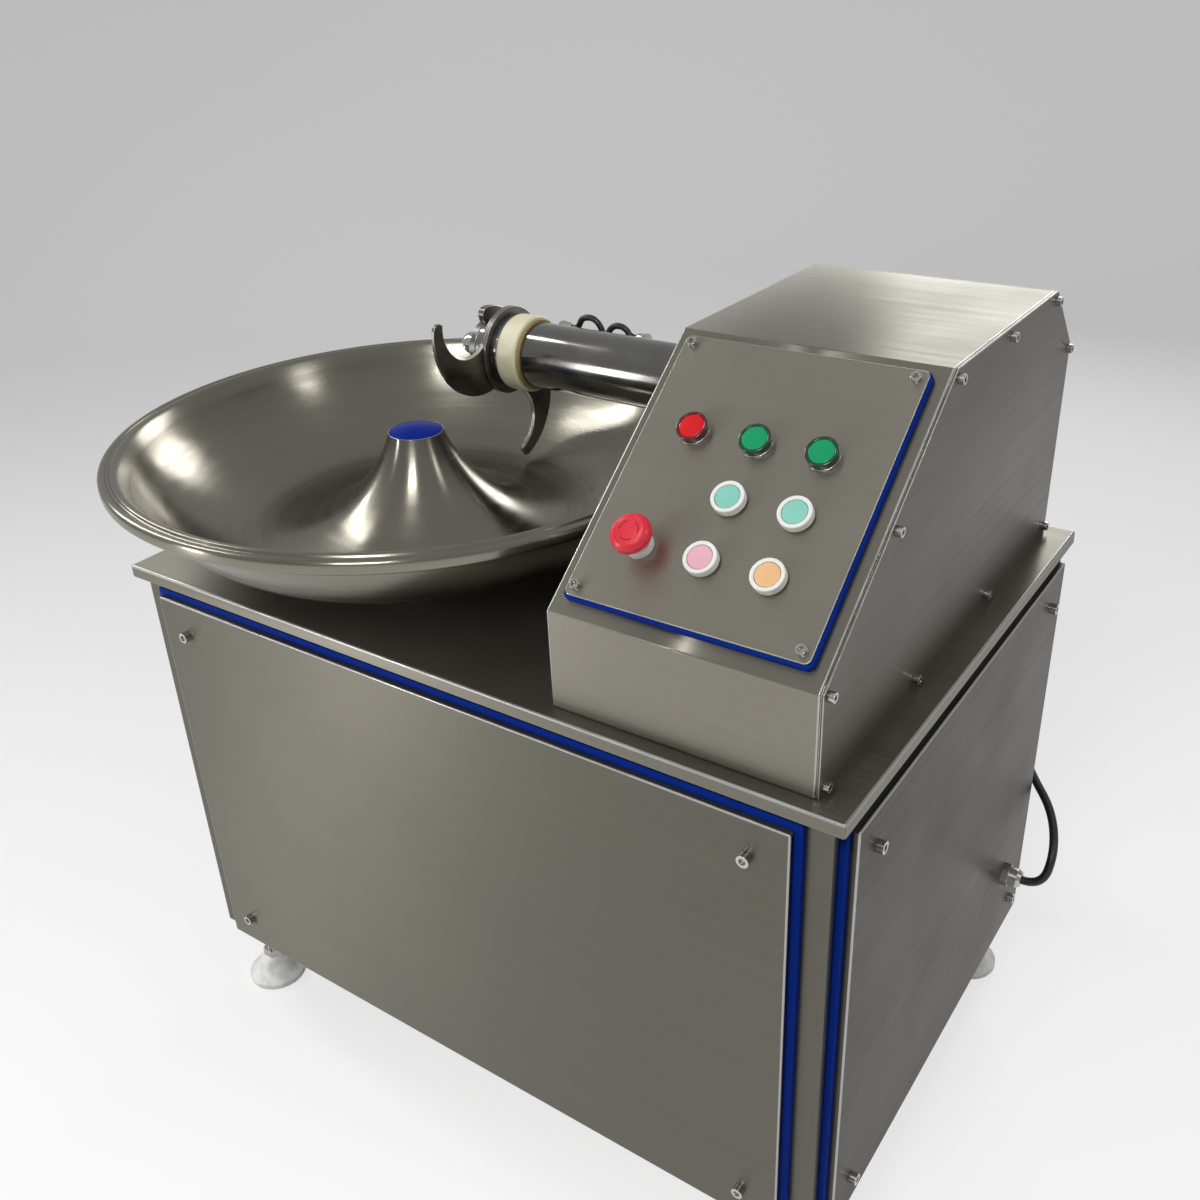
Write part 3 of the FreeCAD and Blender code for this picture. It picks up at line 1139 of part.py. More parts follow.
def route(points, radius):
    """Round cord along straight runs joined by tangent arcs; prints each arc's radius."""
    edges = []
    start = points[0]
    radii = []
    for before, corner, after in zip(points, points[1:], points[2:]):
        first = (corner - before)
        second = (after - corner)
        turn = first.getAngle(second)
        shorter = min(first.Length, second.Length)
        bend = 0.45 * shorter / math.tan(turn / 2)
        radii.append(bend)
        back = Vector(first).normalize()
        ahead = Vector(second).normalize()
        reach = 0.45 * shorter
        enter = corner - back * reach
        leave = corner + ahead * reach
        inwards = (ahead - back).normalize()
        middle = corner + inwards * (bend / math.cos(turn / 2) - bend)
        edges.append(Part.LineSegment(start, enter).toShape())
        edges.append(Part.Arc(enter, middle, leave).toShape())
        start = leave
    edges.append(Part.LineSegment(start, points[-1]).toShape())
    path = Part.Wire(edges)
    way = (points[1] - points[0]).normalize()
    section = Part.Wire([Part.makeCircle(radius, points[0], way)])
    solid = path.makePipeShell([section], True, False)
    expected = math.pi * radius ** 2 * path.Length
    print("cord radii", [round(r, 1) for r in radii], "length", round(path.Length, 1),
          "volume ratio", round(solid.Volume / expected, 4))
    return solid


def gland(radius, length):
    """Metal cable gland along +Z, with a flat of its hexagon down when it lies along X."""
    body = hexagon_prism(radius, length * 0.35, math.pi / 6)
    collar = turned_solid([
        (0, length * 0.35), (radius * 0.84, length * 0.35), (radius * 0.84, length * 0.8),
        (radius * 0.62, length), (0, length)])
    return body.fuse(collar).removeSplitter()


def make_leads():
    """Side lead held between two glands, and the short lead clipped on the small rail."""
    side_face = number(SIDE_FACE)
    rear_face = number(FRONT_FACE)
    wide, long_ = size("gland_radius"), size("gland_length")
    side_gland = gland(wide, long_)
    side_gland.Placement = Placement(Vector(side_face, size("side_gland_y"), size("side_gland_z")), ALONG_X)
    rear_gland = gland(wide, long_)
    rear_gland.Placement = Placement(Vector(size("rear_gland_x"), rear_face, size("rear_gland_z")), ALONG_Y)

    bar_top = size("table_height") + size("rail_bar_rise")
    seat = bar_top + size("rail_gland_radius") * math.cos(math.pi / 6)
    small, small_long = size("rail_gland_radius"), size("rail_gland_length")
    left = gland(small, small_long)
    y = number(RAIL_Y)
    left.Placement = Placement(Vector(size("rail_gland_left"), y, seat), ALONG_X)
    right = gland(small, small_long)
    right.Placement = Placement(Vector(size("rail_gland_right") + small_long, y, seat),
                                Rotation(Vector(0, 1, 0), -90))
    shape_piece("cable_glands", Part.makeCompound([side_gland, rear_gland, left, right]))

    side_start = side_face + long_
    side_y, side_z = size("side_gland_y"), size("side_gland_z")
    rear_x, rear_z = size("rear_gland_x"), size("rear_gland_z")
    rear_end = rear_face + long_
    side_points = [
        Vector(side_start, side_y, side_z), Vector(side_start + 26, side_y, side_z),
        Vector(side_start + 31, side_y + 20, side_z + 46), Vector(side_start + 8, rear_end - 68, rear_z - 18),
        Vector(side_start - 34, rear_end - 25, rear_z - 3), Vector(rear_x + 55, rear_end + 8, rear_z + 4),
        Vector(rear_x + 36, rear_end + 39, rear_z + 5), Vector(rear_x, rear_end + 39, rear_z),
        Vector(rear_x, rear_end, rear_z)]
    shape_piece("side_lead", route(side_points, size("side_lead_radius")))

    start = size("rail_gland_left") + small_long
    end = size("rail_gland_right")
    dip = bar_top + size("rail_lead_radius") - 5.5
    tall, low = seat + size("rail_hump_high"), seat + size("rail_hump_low")
    rail_points = [
        Vector(start, y, seat), Vector(start + 9, y, seat), Vector(start + 16, y, tall),
        Vector(start + 40, y, tall), Vector(start + 51, y, dip), Vector(start + 62, y, low),
        Vector(start + 82, y, low), Vector(end - 9, y, seat), Vector(end, y, seat)]
    shape_piece("rail_lead", route(rail_points, size("rail_lead_radius")))

    bar = box("rail_bar", "hood_left - rail_bar_left", "rail_bar_width", "rail_bar_sheet",
              ("rail_bar_left", RAIL_Y + " - rail_bar_width / 2",
               "table_height + rail_bar_rise - rail_bar_sheet"))
    piece("sensor_rail", bar)


def make_electrics():
    """Contactors on a plate inside the left panel."""
    low = TABLE_UNDER + " - rail_height / 2 - back_plate_height"
    inner = "rail_width - cabinet_length / 2"
    units = [box("electrical_back", "back_plate_sheet", "back_plate_length", "back_plate_height",
                 (inner, "-back_plate_length / 2", low))]
    for index in range(3):
        units.append(box("contactor_%d" % index, "contactor_depth", "contactor_width",
                         "contactor_height",
                         (inner + " + back_plate_sheet",
                          "40 - back_plate_length / 2 + %d * (contactor_width + 24)" % index,
                          low + " + 100")))
    piece("electrical_plate", fuse("electrics", units))


for make in (make_table, make_cabinet, make_panels, make_big_screws, make_feet, make_bowl,
             make_knife_head, make_shaft_housing, make_belt_drive, make_control_housing,
             make_controls, make_leads, make_electrics):
    make()

doc.recompute()

for obj in doc.Objects:
    if "Invalid" in obj.State or "Error" in obj.State:
        raise RuntimeError("%s failed to build: %s" % (obj.Label, obj.State))
for node, obj in pieces.items():
    if obj.Shape.isNull() or not obj.Shape.isValid() or not obj.Shape.Solids:
        raise RuntimeError("%s is not a valid solid" % node)

os.makedirs("parts", exist_ok=True)
for node, obj in pieces.items():
    obj.Shape.exportStep("parts/%s.step" % node)
print(len(pieces), "sub-parts")
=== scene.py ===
"""Looks of a meat bowl cutter, laid out as an add-on: one operator for each group of pieces.

Every length below is in metres in the model's own frame: X along the long front, Y from the front
to the back, Z up from the floor.
"""
import json
import math

import bmesh
import bpy
import numpy as np
from mathutils import Matrix, Vector

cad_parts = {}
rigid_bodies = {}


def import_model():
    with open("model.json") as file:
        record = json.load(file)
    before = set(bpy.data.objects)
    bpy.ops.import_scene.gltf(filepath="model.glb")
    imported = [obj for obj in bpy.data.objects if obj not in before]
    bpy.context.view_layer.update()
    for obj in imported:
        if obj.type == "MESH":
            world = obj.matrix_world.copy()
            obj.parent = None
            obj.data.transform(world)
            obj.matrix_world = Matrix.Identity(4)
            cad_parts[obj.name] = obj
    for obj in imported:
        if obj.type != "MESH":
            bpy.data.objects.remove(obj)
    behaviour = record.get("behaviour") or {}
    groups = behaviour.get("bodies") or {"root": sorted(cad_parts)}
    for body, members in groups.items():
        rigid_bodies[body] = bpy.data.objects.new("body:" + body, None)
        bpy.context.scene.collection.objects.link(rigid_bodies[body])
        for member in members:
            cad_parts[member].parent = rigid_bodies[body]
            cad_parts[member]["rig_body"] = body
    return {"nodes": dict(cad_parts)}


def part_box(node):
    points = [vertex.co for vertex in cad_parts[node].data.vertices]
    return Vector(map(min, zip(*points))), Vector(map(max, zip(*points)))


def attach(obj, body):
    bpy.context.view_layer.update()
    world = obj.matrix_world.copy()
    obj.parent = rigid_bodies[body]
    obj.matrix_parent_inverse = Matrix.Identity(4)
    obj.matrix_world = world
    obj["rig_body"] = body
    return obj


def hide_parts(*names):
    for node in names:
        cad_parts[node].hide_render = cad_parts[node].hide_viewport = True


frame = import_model()

bl_info = {
    "name": "Meat bowl cutter",
    "version": (1, 0, 0),
    "blender": (4, 5, 0),
    "location": "View3D > Sidebar > Cutter",
    "description": "Finishes and soft details of a meat bowl cutter around its solid model",
    "category": "Object",
}

MM = 0.001
UP = Vector((0, 0, 1))
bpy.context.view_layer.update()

TABLE_LOW, TABLE_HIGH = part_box("table_top")
TABLE_MIDDLE = (TABLE_LOW + TABLE_HIGH) / 2
BOWL_LOW, BOWL_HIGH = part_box("bowl")
BOWL_X = (BOWL_LOW.x + BOWL_HIGH.x) / 2
BOWL_Y = (BOWL_LOW.y + BOWL_HIGH.y) / 2
TUBE_LOW, TUBE_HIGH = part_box("shaft_housing_tube")
KNIFE_Y = (TUBE_LOW.y + TUBE_HIGH.y) / 2
KNIFE_Z = (TUBE_LOW.z + TUBE_HIGH.z) / 2
HOUSING_LOW, HOUSING_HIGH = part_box("control_housing")
SIDE_LOW, SIDE_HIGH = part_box("housing_side_plate")


def length(name, description, default, low=0.0, high=1.0):
    """A length in metres for the panel."""
    return bpy.props.FloatProperty(name=name, description=description, default=default, min=low,
                                   max=high, unit="LENGTH")


def colour(name, description, default):
    """A colour for the panel."""
    return bpy.props.FloatVectorProperty(name=name, description=description, subtype="COLOR", size=3,
                                         default=default)


class CutterSizes(bpy.types.PropertyGroup):
    """Sizes that finish the pieces."""

    sheet_bend: length("Sheet bend", "Radius of the table's folded edge", 2.5 * MM, 0.5 * MM, 8 * MM)
    plate_edge: length("Plate edge", "Rounding of a cut plate's edge", 0.8 * MM, 0.1 * MM, 3 * MM)
    rim_round: length("Rim round", "Rounding of the bowl's rim", 2.2 * MM, 0.5 * MM, 6 * MM)
    front_wall: length("Front wall", "Height of the control housing's front wall", 105.5 * MM)
    back_fold: length("Back fold", "Width of the folded corner at the housing's back", 75.4 * MM)
    slope_angle: bpy.props.FloatProperty(
        name="Slope angle", description="Slope of the control panel over the table",
        default=math.radians(39), subtype="ANGLE")
    turns: bpy.props.IntProperty(
        name="Turned steps", description="Steps round a turned piece", default=96, min=24, max=256)


class CutterColours(bpy.types.PropertyGroup):
    """Colours of the finishes."""

    steel: colour("Sheet steel", "Brushed sheet", (0.315, 0.297, 0.248))
    bowl_steel: colour("Bowl steel", "Circular brushed bowl", (0.235, 0.223, 0.185))
    polished: colour("Polished steel", "Shaft housing, nut and screws", (0.50, 0.495, 0.475))
    gasket: colour("Gasket", "Blue silicone", (0.002, 0.024, 0.24))
    cap: colour("Bowl cap", "Blue cap in the middle of the bowl", (0.001, 0.018, 0.24))
    ivory: colour("Ivory ring", "Nylon ring on the shaft housing", (0.72, 0.70, 0.50))
    stop_red: colour("Stop red", "Mushroom head", (0.72, 0.018, 0.04))


def sizes():
    return bpy.context.scene.cutter_sizes


def colours():
    return bpy.context.scene.cutter_colours


# Shapes

def linked(name, data):
    """A new object with this data, in the scene."""
    obj = bpy.data.objects.new(name, data)
    bpy.context.scene.collection.objects.link(obj)
    return obj


def add_object(name, verts, faces, body, uv=None, smooth=True):
    """A mesh object from arrays, with an optional map of one UV for each face corner."""
    mesh = bpy.data.meshes.new(name)
    mesh.from_pydata(verts.tolist(), [], faces)
    if uv is not None:
        layer = mesh.uv_layers.new(name="finish")
        layer.data.foreach_set("uv", np.asarray(uv, np.float32).ravel())
    mesh.polygons.foreach_set("use_smooth", np.full(len(mesh.polygons), smooth))
    mesh.update()
    obj = linked(name, mesh)
    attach(obj, body)
    return obj


def tidy_mesh(obj, merge=1e-6):
    """Closes seams and poles, and turns every face outwards."""
    work = bmesh.new()
    work.from_mesh(obj.data)
    bmesh.ops.remove_doubles(work, verts=work.verts, dist=merge)
    bmesh.ops.recalc_face_normals(work, faces=work.faces)
    work.to_mesh(obj.data)
    work.free()
    return obj


def sharpen(obj, angle=32):
    """Marks edges that turn by more than angle degrees as sharp."""
    work = bmesh.new()
    work.from_mesh(obj.data)
    for edge in work.edges:
        edge.smooth = len(edge.link_faces) == 2 and edge.calc_face_angle(0) < math.radians(angle)
    work.to_mesh(obj.data)
    work.free()
    return obj


def sheet_faces(rows, columns, wrap):
    """Corner numbers of the quads of a rows by columns grid; wrap closes it along its columns."""
    row, column = np.meshgrid(np.arange(rows - 1), np.arange(columns if wrap else columns - 1),
                              indexing="ij")
    after = (column + 1) % columns
    quads = np.stack([row * columns + column, row * columns + after,
                      (row + 1) * columns + after, (row + 1) * columns + column], axis=-1)
    return quads.reshape(-1, 4)


def rounded_path(points, radius, steps=5):
    """An open path of straight runs whose corners become arcs.

    The arc at a corner is the quadratic curve between the points that lie radius before and after
    it, or half the shorter run where that is less.
    """
    path = [np.asarray(points[0], float)]
    for before, corner, after in zip(points, points[1:], points[2:]):
        before, corner, after = (np.asarray(p, float) for p in (before, corner, after))
        back, ahead = before - corner, after - corner
        reach = min(radius, 0.48 * np.linalg.norm(back), 0.48 * np.linalg.norm(ahead))
        start = corner + back / np.linalg.norm(back) * reach
        end = corner + ahead / np.linalg.norm(ahead) * reach
        t = np.linspace(0, 1, steps)[:, None]
        path.extend((1 - t) ** 2 * start + 2 * t * (1 - t) * corner + t ** 2 * end)
    path.append(np.asarray(points[-1], float))
    return np.array(path)


def placed(points, place):
    """Rows of points moved by a 4 by 4 matrix."""
    turn = np.array(place, float)
    return points @ turn[:3, :3].T + turn[:3, 3]


def turned_arrays(profile, place, steps):
    """A profile of (radius, height) turned once round: x = r cos a, y = r sin a, z = h, then placed."""
    profile = np.asarray(profile, float)
    angle = np.linspace(0, 2 * np.pi, steps, endpoint=False)
    radius, height = profile[:, 0][:, None], profile[:, 1][:, None]
    points = np.stack([radius * np.cos(angle), radius * np.sin(angle),
                       height + 0 * angle], axis=-1).reshape(-1, 3)
    faces = sheet_faces(len(profile), steps, True)
    run = np.concatenate([[0], np.cumsum(np.linalg.norm(np.diff(profile, axis=0), axis=1))])
    column = np.tile(np.arange(steps), len(profile) - 1)
    row = np.repeat(np.arange(len(profile) - 1), steps)
    grid = (0, 0), (0, 1), (1, 1), (1, 0)
    corners = np.stack([np.stack([run[row + i], (column + j) / steps], -1) for i, j in grid], axis=1)
    return placed(points, place), faces, corners.reshape(-1, 2)


def turned(name, profile, places, body, steps=None):
    """One piece made of the same turned form at each place."""
    steps = steps or sizes().turns
    verts, faces, uvs, count = [], [], [], 0
    for place in places:
        points, quads, corners = turned_arrays(profile, place, steps)
        verts.append(points)
        faces.append(quads + count)
        uvs.append(corners)
        count += len(points)
    obj = add_object(name, np.concatenate(verts), np.concatenate(faces).tolist(), body,
                     np.concatenate(uvs))
    return sharpen(tidy_mesh(obj), 40)


def upright(x, y, z=0.0):
    return Matrix.Translation((x, y, z))


def along_x(x, y, z):
    """Turns a form's own Z towards +X, with its start at x, y, z."""
    return Matrix.Translation((x, y, z)) @ Matrix.Rotation(math.pi / 2, 4, "Y")


def outline_loops(corners, radius, layers, steps=6):
    """Loops round a convex outline, one for each layer of (inset, depth).

    Each corner is an arc of radius minus inset about the centre that lies radius inside both edges.
    """
    corners = np.asarray(corners, float)
    before = corners - np.roll(corners, 1, axis=0)
    after = np.roll(corners, -1, axis=0) - corners
    before /= np.linalg.norm(before, axis=1)[:, None]
    after /= np.linalg.norm(after, axis=1)[:, None]
    first = np.stack([-before[:, 1], before[:, 0]], -1)
    second = np.stack([-after[:, 1], after[:, 0]], -1)
    centre = corners + radius * (first + second) / (1 + np.sum(first * second, 1))[:, None]
    start = np.arctan2(-first[:, 1], -first[:, 0])
    turn = np.arctan2(first[:, 0] * second[:, 1] - first[:, 1] * second[:, 0],
                      np.sum(first * second, 1))
    angle = start[:, None] + turn[:, None] * np.linspace(0, 1, steps)
    way = np.stack([np.cos(angle), np.sin(angle)], -1)
    loops = []
    for inset, depth in layers:
        flat = (centre[:, None, :] + way * (radius - inset)).reshape(-1, 2)
        loops.append(np.column_stack([flat, np.full(len(flat), depth)]))
    return np.array(loops)


def plate_piece(name, corners, radius, layers, place, body):
    """A closed plate from outline loops, with a flat face on its first and last loop."""
    loops = outline_loops(corners, radius, layers)
    rows, columns = loops.shape[:2]
    points = loops.reshape(-1, 3)
    faces = sheet_faces(rows, columns, True).tolist()
    faces.append(list(range(columns)))
    faces.append(list(range((rows - 1) * columns, rows * columns)))
    chart = points[np.concatenate([np.array(face) for face in faces])][:, :2]
    obj = add_object(name, placed(points, place), faces, body, chart)
    tidy_mesh(obj)
    flat = obj.modifiers.new("flat faces", "WEIGHTED_NORMAL")
    flat.keep_sharp = True
    return obj


def edge_layers(thickness, edge, steps=4):
    """Layers of a plate whose two rims are rounded by a quarter circle of radius edge."""
    a = np.linspace(0, np.pi / 2, steps)
    low = np.column_stack([edge * (1 - np.sin(a)), edge * (1 - np.cos(a))])
    high = np.column_stack([edge * (1 - np.cos(a)), thickness - edge * (1 - np.sin(a))])
    return np.concatenate([low, high])


def frame_piece(name, corners, radius, band, thickness, place, body):
    """A flat frame: outline loops outside, the same outline moved in by band inside."""
    corners = np.asarray(corners, float)
    middle = corners.mean(0)
    half = np.abs(corners - middle).max(0)
    inner = middle + (corners - middle) * (1 - band / half)
    edge = min(0.6 * MM, thickness / 3)
    outside = outline_loops(corners, radius, edge_layers(thickness, edge))
    inside = outline_loops(inner, max(radius - band, edge + 0.1 * MM), [(0, thickness), (0, 0)])
    loops = np.concatenate([outside, inside, outside[:1]])
    rows, columns = loops.shape[:2]
    points = placed(loops.reshape(-1, 3), place)
    obj = add_object(name, points, sheet_faces(rows, columns, True).tolist(), body)
    return sharpen(tidy_mesh(obj), 50)


def rectangle(width, height, x=0.0, y=0.0):
    """Corners of a rectangle from its low corner, counter-clockwise."""
    return [(x, y), (x + width, y), (x + width, y + height), (x, y + height)]


def dressed(node, bevel=0.0, angle=32):
    """A merged copy of a solid's mesh, smooth round its curves, with fine bevels on its edges."""
    source = frame["nodes"][node]
    obj = linked(node + "_dressed", source.data.copy())
    obj.data.materials.clear()
    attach(obj, source["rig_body"])
    work = bmesh.new()
    work.from_mesh(obj.data)
    bmesh.ops.remove_doubles(work, verts=work.verts, dist=1e-6)
    bmesh.ops.dissolve_limit(work, angle_limit=math.radians(0.4), verts=work.verts, edges=work.edges)
    work.to_mesh(obj.data)
    work.free()
    obj.data.polygons.foreach_set("use_smooth", np.full(len(obj.data.polygons), True))
    sharpen(obj, angle)
    if bevel:
        edge = obj.modifiers.new("edges", "BEVEL")
        edge.width = bevel
        edge.segments = 2
        edge.limit_method = "ANGLE"
        edge.angle_limit = math.radians(40)
        edge.harden_normals = True
        edge.use_clamp_overlap = True
    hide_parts(node)
    return obj


def painted_highlight_edges(obj, place, material):
    """Gives a plate's rounded edges, the faces that slant to its face, a second and brighter
    material: a painted highlight along its edges and bends.
    """
    obj.data.materials.append(material)
    way = place.to_3x3() @ UP
    slant = [abs(face.normal.dot(way)) for face in obj.data.polygons]
    obj.data.polygons.foreach_set("material_index", [int(0.1 < value < 0.99) for value in slant])


def paint(obj, material):
    """Gives a piece its finish."""
    obj.data.materials.clear()
    obj.data.materials.append(material)
    return obj


# Finishes

def feed(node, **inputs):
    """Gives a node's inputs, named with _ for a space, a value or another node's output."""
    for name, value in inputs.items():
        socket = node.inputs[name.replace("_", " ")]
        if isinstance(value, bpy.types.NodeSocket):
            node.id_data.links.new(value, socket)
        else:
            socket.default_value = value


def new_finish(name, colour, metallic, roughness):
    material = bpy.data.materials.new(name)
    material.use_nodes = True
    tree = material.node_tree
    shader = tree.nodes["Principled BSDF"]
    feed(shader, Base_Color=(*colour, 1), Metallic=metallic, Roughness=roughness)
    return material, tree, shader


def noise(tree, coordinate, scale, stretch=(1, 1, 1), detail=3.0):
    """Noise on a coordinate whose axes are scaled by stretch."""
    mapping = tree.nodes.new("ShaderNodeMapping")
    feed(mapping, Vector=coordinate, Scale=stretch)
    texture = tree.nodes.new("ShaderNodeTexNoise")
    feed(texture, Vector=mapping.outputs["Vector"], Scale=scale, Detail=detail)
    return texture.outputs["Fac"]


def spread(tree, value, low, high, start=0.3, end=0.7):
    """Maps a value from start..end to low..high."""
    node = tree.nodes.new("ShaderNodeMapRange")
    feed(node, Value=value, From_Min=start, From_Max=end, To_Min=low, To_Max=high)
    return node.outputs["Result"]


def arithmetic(tree, kind, first, second):
    node = tree.nodes.new("ShaderNodeMath")
    node.operation = kind
    for socket, value in zip(node.inputs, (first, second)):
        if isinstance(value, (int, float)):
            socket.default_value = value
        else:
            tree.links.new(value, socket)
    return node.outputs["Value"]


def tinted(tree, colour, factor):
    """The colour multiplied by a grey factor."""
    node = tree.nodes.new("ShaderNodeVectorMath")
    node.operation = "SCALE"
    feed(node, Vector=colour, Scale=factor)
    return node.outputs["Vector"]


def raised(tree, height, strength, distance):
    node = tree.nodes.new("ShaderNodeBump")
    feed(node, Height=height, Strength=strength, Distance=distance)
    return node.outputs["Normal"]


def object_coordinates(tree):
    return tree.nodes.new("ShaderNodeTexCoord").outputs["Object"]


GRAIN = {"x": (0.006, 1, 1), "y": (1, 0.006, 1), "z": (1, 1, 0.006)}


def brushed_sheet(name, grain="x", roughness=0.3, tone_and_painted_light=1.0, mapped=True):
    """Sheet steel brushed along one axis: fine stretched noise in the bump and the roughness, with
    wiped patches at hand scale. The colour factor gives each piece a painted shade or painted lift
    for how the light falls on its side."""
    colour = tuple(c * tone_and_painted_light for c in colours().steel)
    material, tree, shader = new_finish(name, colour, 1.0, roughness)
    place = object_coordinates(tree)
    fine = noise(tree, place, 1400, GRAIN[grain], 2)
    coarse = noise(tree, place, 260, GRAIN[grain], 3)
    wiped = noise(tree, place, 5.5, (1, 1, 1), 4)
    grain_rough = spread(tree, coarse, -0.025, 0.03)
    wiped_rough = spread(tree, wiped, roughness - 0.03, roughness + 0.05)
    shade_fine = spread(tree, fine, 0.965, 1.03)
    shade_wide = spread(tree, wiped, 0.965, 1.03)
    feed(shader, Roughness=arithmetic(tree, "ADD", grain_rough, wiped_rough),
         Base_Color=tinted(tree, colour, arithmetic(tree, "MULTIPLY", shade_fine, shade_wide)),
         Normal=raised(tree, fine, 0.03, 0.0004))
    if mapped:
        stretched(tree, shader, 0.85, across=0.25)
    return material


def stretched(tree, shader, amount, across=0.0):
    """Draws the highlight out along the map's first axis, turned by the share across of a turn."""
    tangent = tree.nodes.new("ShaderNodeTangent")
    tangent.direction_type = "UV_MAP"
    tangent.uv_map = "finish"
    feed(shader, Anisotropic=amount, Anisotropic_Rotation=across, Tangent=tangent.outputs["Tangent"])


def bowl_finish():
    """Spun steel brushed round the axis: rings follow the profile's own map, and the highlight is
    drawn out across them."""
    colour = tuple(colours().bowl_steel)
    material, tree, shader = new_finish("circular brushed steel", colour, 1.0, 0.3)
    chart = tree.nodes.new("ShaderNodeUVMap")
    chart.uv_map = "finish"
    rings = noise(tree, chart.outputs["UV"], 1.0, (900, 5, 1), 3)
    bands = noise(tree, chart.outputs["UV"], 1.0, (60, 1.2, 1), 2)
    wiped = noise(tree, object_coordinates(tree), 6, (1, 1, 1), 4)
    rough = arithmetic(tree, "ADD", spread(tree, bands, -0.04, 0.05), spread(tree, wiped, 0.20, 0.27))
    factor = arithmetic(tree, "MULTIPLY", spread(tree, rings, 0.93, 1.06), spread(tree, wiped, 0.95, 1.04))
    feed(shader, Roughness=rough, Base_Color=tinted(tree, colour, factor),
         Normal=raised(tree, rings, 0.06, 0.0004))
    stretched(tree, shader, 0.8)
    return material


def polished_steel(name, roughness=0.12, tone_and_painted_light=1.0, scratch=(1, 1, 1)):
    """Bright steel with faint scratches and a light haze. The colour factor is a part's own tone,
    and on some parts a painted shade or painted highlight.
    """
    colour = tuple(c * tone_and_painted_light for c in colours().polished)
    material, tree, shader = new_finish(name, colour, 1.0, roughness)
    place = object_coordinates(tree)
    lines = noise(tree, place, 500, scratch, 4)
    haze = noise(tree, place, 18, (1, 1, 1), 4)
    feed(shader, Roughness=spread(tree, haze, roughness * 0.7, roughness * 1.7),
         Base_Color=tinted(tree, colour, spread(tree, haze, 0.94, 1.04)),
         Normal=raised(tree, lines, 0.08, 0.0003))
    return material


def knife_steel():
    """Dark satin blade with a bright ground face where the surface slants between its flat sides."""
    colour = (0.20, 0.195, 0.18)
    material, tree, shader = new_finish("knife steel", colour, 1.0, 0.3)
    coordinates = tree.nodes.new("ShaderNodeTexCoord")
    split = tree.nodes.new("ShaderNodeSeparateXYZ")
    feed(split, Vector=coordinates.outputs["Normal"])
    across = arithmetic(tree, "ABSOLUTE", split.outputs["X"], 0)
    slanted = arithmetic(tree, "MULTIPLY", arithmetic(tree, "GREATER_THAN", across, 0.35),
                         arithmetic(tree, "LESS_THAN", across, 0.9))
    grain = noise(tree, coordinates.outputs["Object"], 700, (1, 0.05, 1), 3)
    stain = noise(tree, coordinates.outputs["Object"], 30, (1, 1, 1), 5)
    factor = arithmetic(tree, "MULTIPLY", spread(tree, grain, 0.85, 1.15), spread(tree, stain, 0.8, 1.15))
    lift = arithmetic(tree, "MULTIPLY_ADD", slanted, 3.2)
    lift.node.inputs[2].default_value = 1.0
    feed(shader, Base_Color=tinted(tree, colour, arithmetic(tree, "MULTIPLY", factor, lift)),
         Roughness=spread(tree, stain, 0.25, 0.4), Normal=raised(tree, grain, 0.1, 0.0004))
    return material


def plastic(name, colour, roughness=0.35, speckle=0.03, coat=0.0, scatter=0.0, gloss=0.5):
    """Moulded plastic or rubber: slight tone change, fine moulding grain and rubbed patches."""
    material, tree, shader = new_finish(name, colour, 0.0, roughness)
    place = object_coordinates(tree)
    tone = noise(tree, place, 45, (1, 1, 1), 3)
    fine = noise(tree, place, 900, (1, 1, 1), 2)
    feed(shader, Base_Color=tinted(tree, colour, spread(tree, tone, 1 - speckle, 1 + speckle)),
         Roughness=spread(tree, tone, roughness * 0.85, roughness * 1.2),
         Normal=raised(tree, fine, 0.05, 0.0002), Coat_Weight=coat, Specular_IOR_Level=gloss)
    if scatter:
        feed(shader, Subsurface_Weight=scatter, Subsurface_Scale=0.004)
    return material


def worn_white(name, colour, roughness=0.45):
    """White plastic greyed by floor dirt, in patches of noise."""
    material, tree, shader = new_finish(name, colour, 0.0, roughness)
    place = object_coordinates(tree)
    dirt = noise(tree, place, 60, (1, 1, 1), 6)
    feed(shader, Base_Color=tinted(tree, colour, spread(tree, dirt, 0.72, 1.02, 0.25, 0.55)),
         Normal=raised(tree, dirt, 0.1, 0.0006))
    return material


# Stage, camera and lamps

PHOTO_AZIMUTH = math.radians(35.6)
PHOTO_ELEVATION = math.radians(-27.75)
PHOTO_ROLL = math.radians(-2.49)
PHOTO_LENS = 37.03
CAMERA_FROM_TABLE = Vector((782.8, -1085.8, 657.8)) * MM


def make_camera():
    data = bpy.data.cameras.new("camera")
    data.lens = PHOTO_LENS
    data.sensor_width = 36
    data.shift_x = -0.0047
    data.shift_y = -0.0151
    data.clip_end = 200
    camera = linked("camera", data)
    ahead = Vector((-math.sin(PHOTO_AZIMUTH) * math.cos(PHOTO_ELEVATION),
                    math.cos(PHOTO_AZIMUTH) * math.cos(PHOTO_ELEVATION), math.sin(PHOTO_ELEVATION)))
    side = ahead.cross(UP).normalized()
    up = side.cross(ahead)
    right = side * math.cos(PHOTO_ROLL) + up * math.sin(PHOTO_ROLL)
    top = up * math.cos(PHOTO_ROLL) - side * math.sin(PHOTO_ROLL)
    turn = Matrix((right, top, -ahead)).transposed().to_4x4()
    table_centre = Vector((TABLE_MIDDLE.x, TABLE_MIDDLE.y, TABLE_HIGH.z))
    camera.matrix_world = Matrix.Translation(table_centre + CAMERA_FROM_TABLE) @ turn
    bpy.context.scene.camera = camera


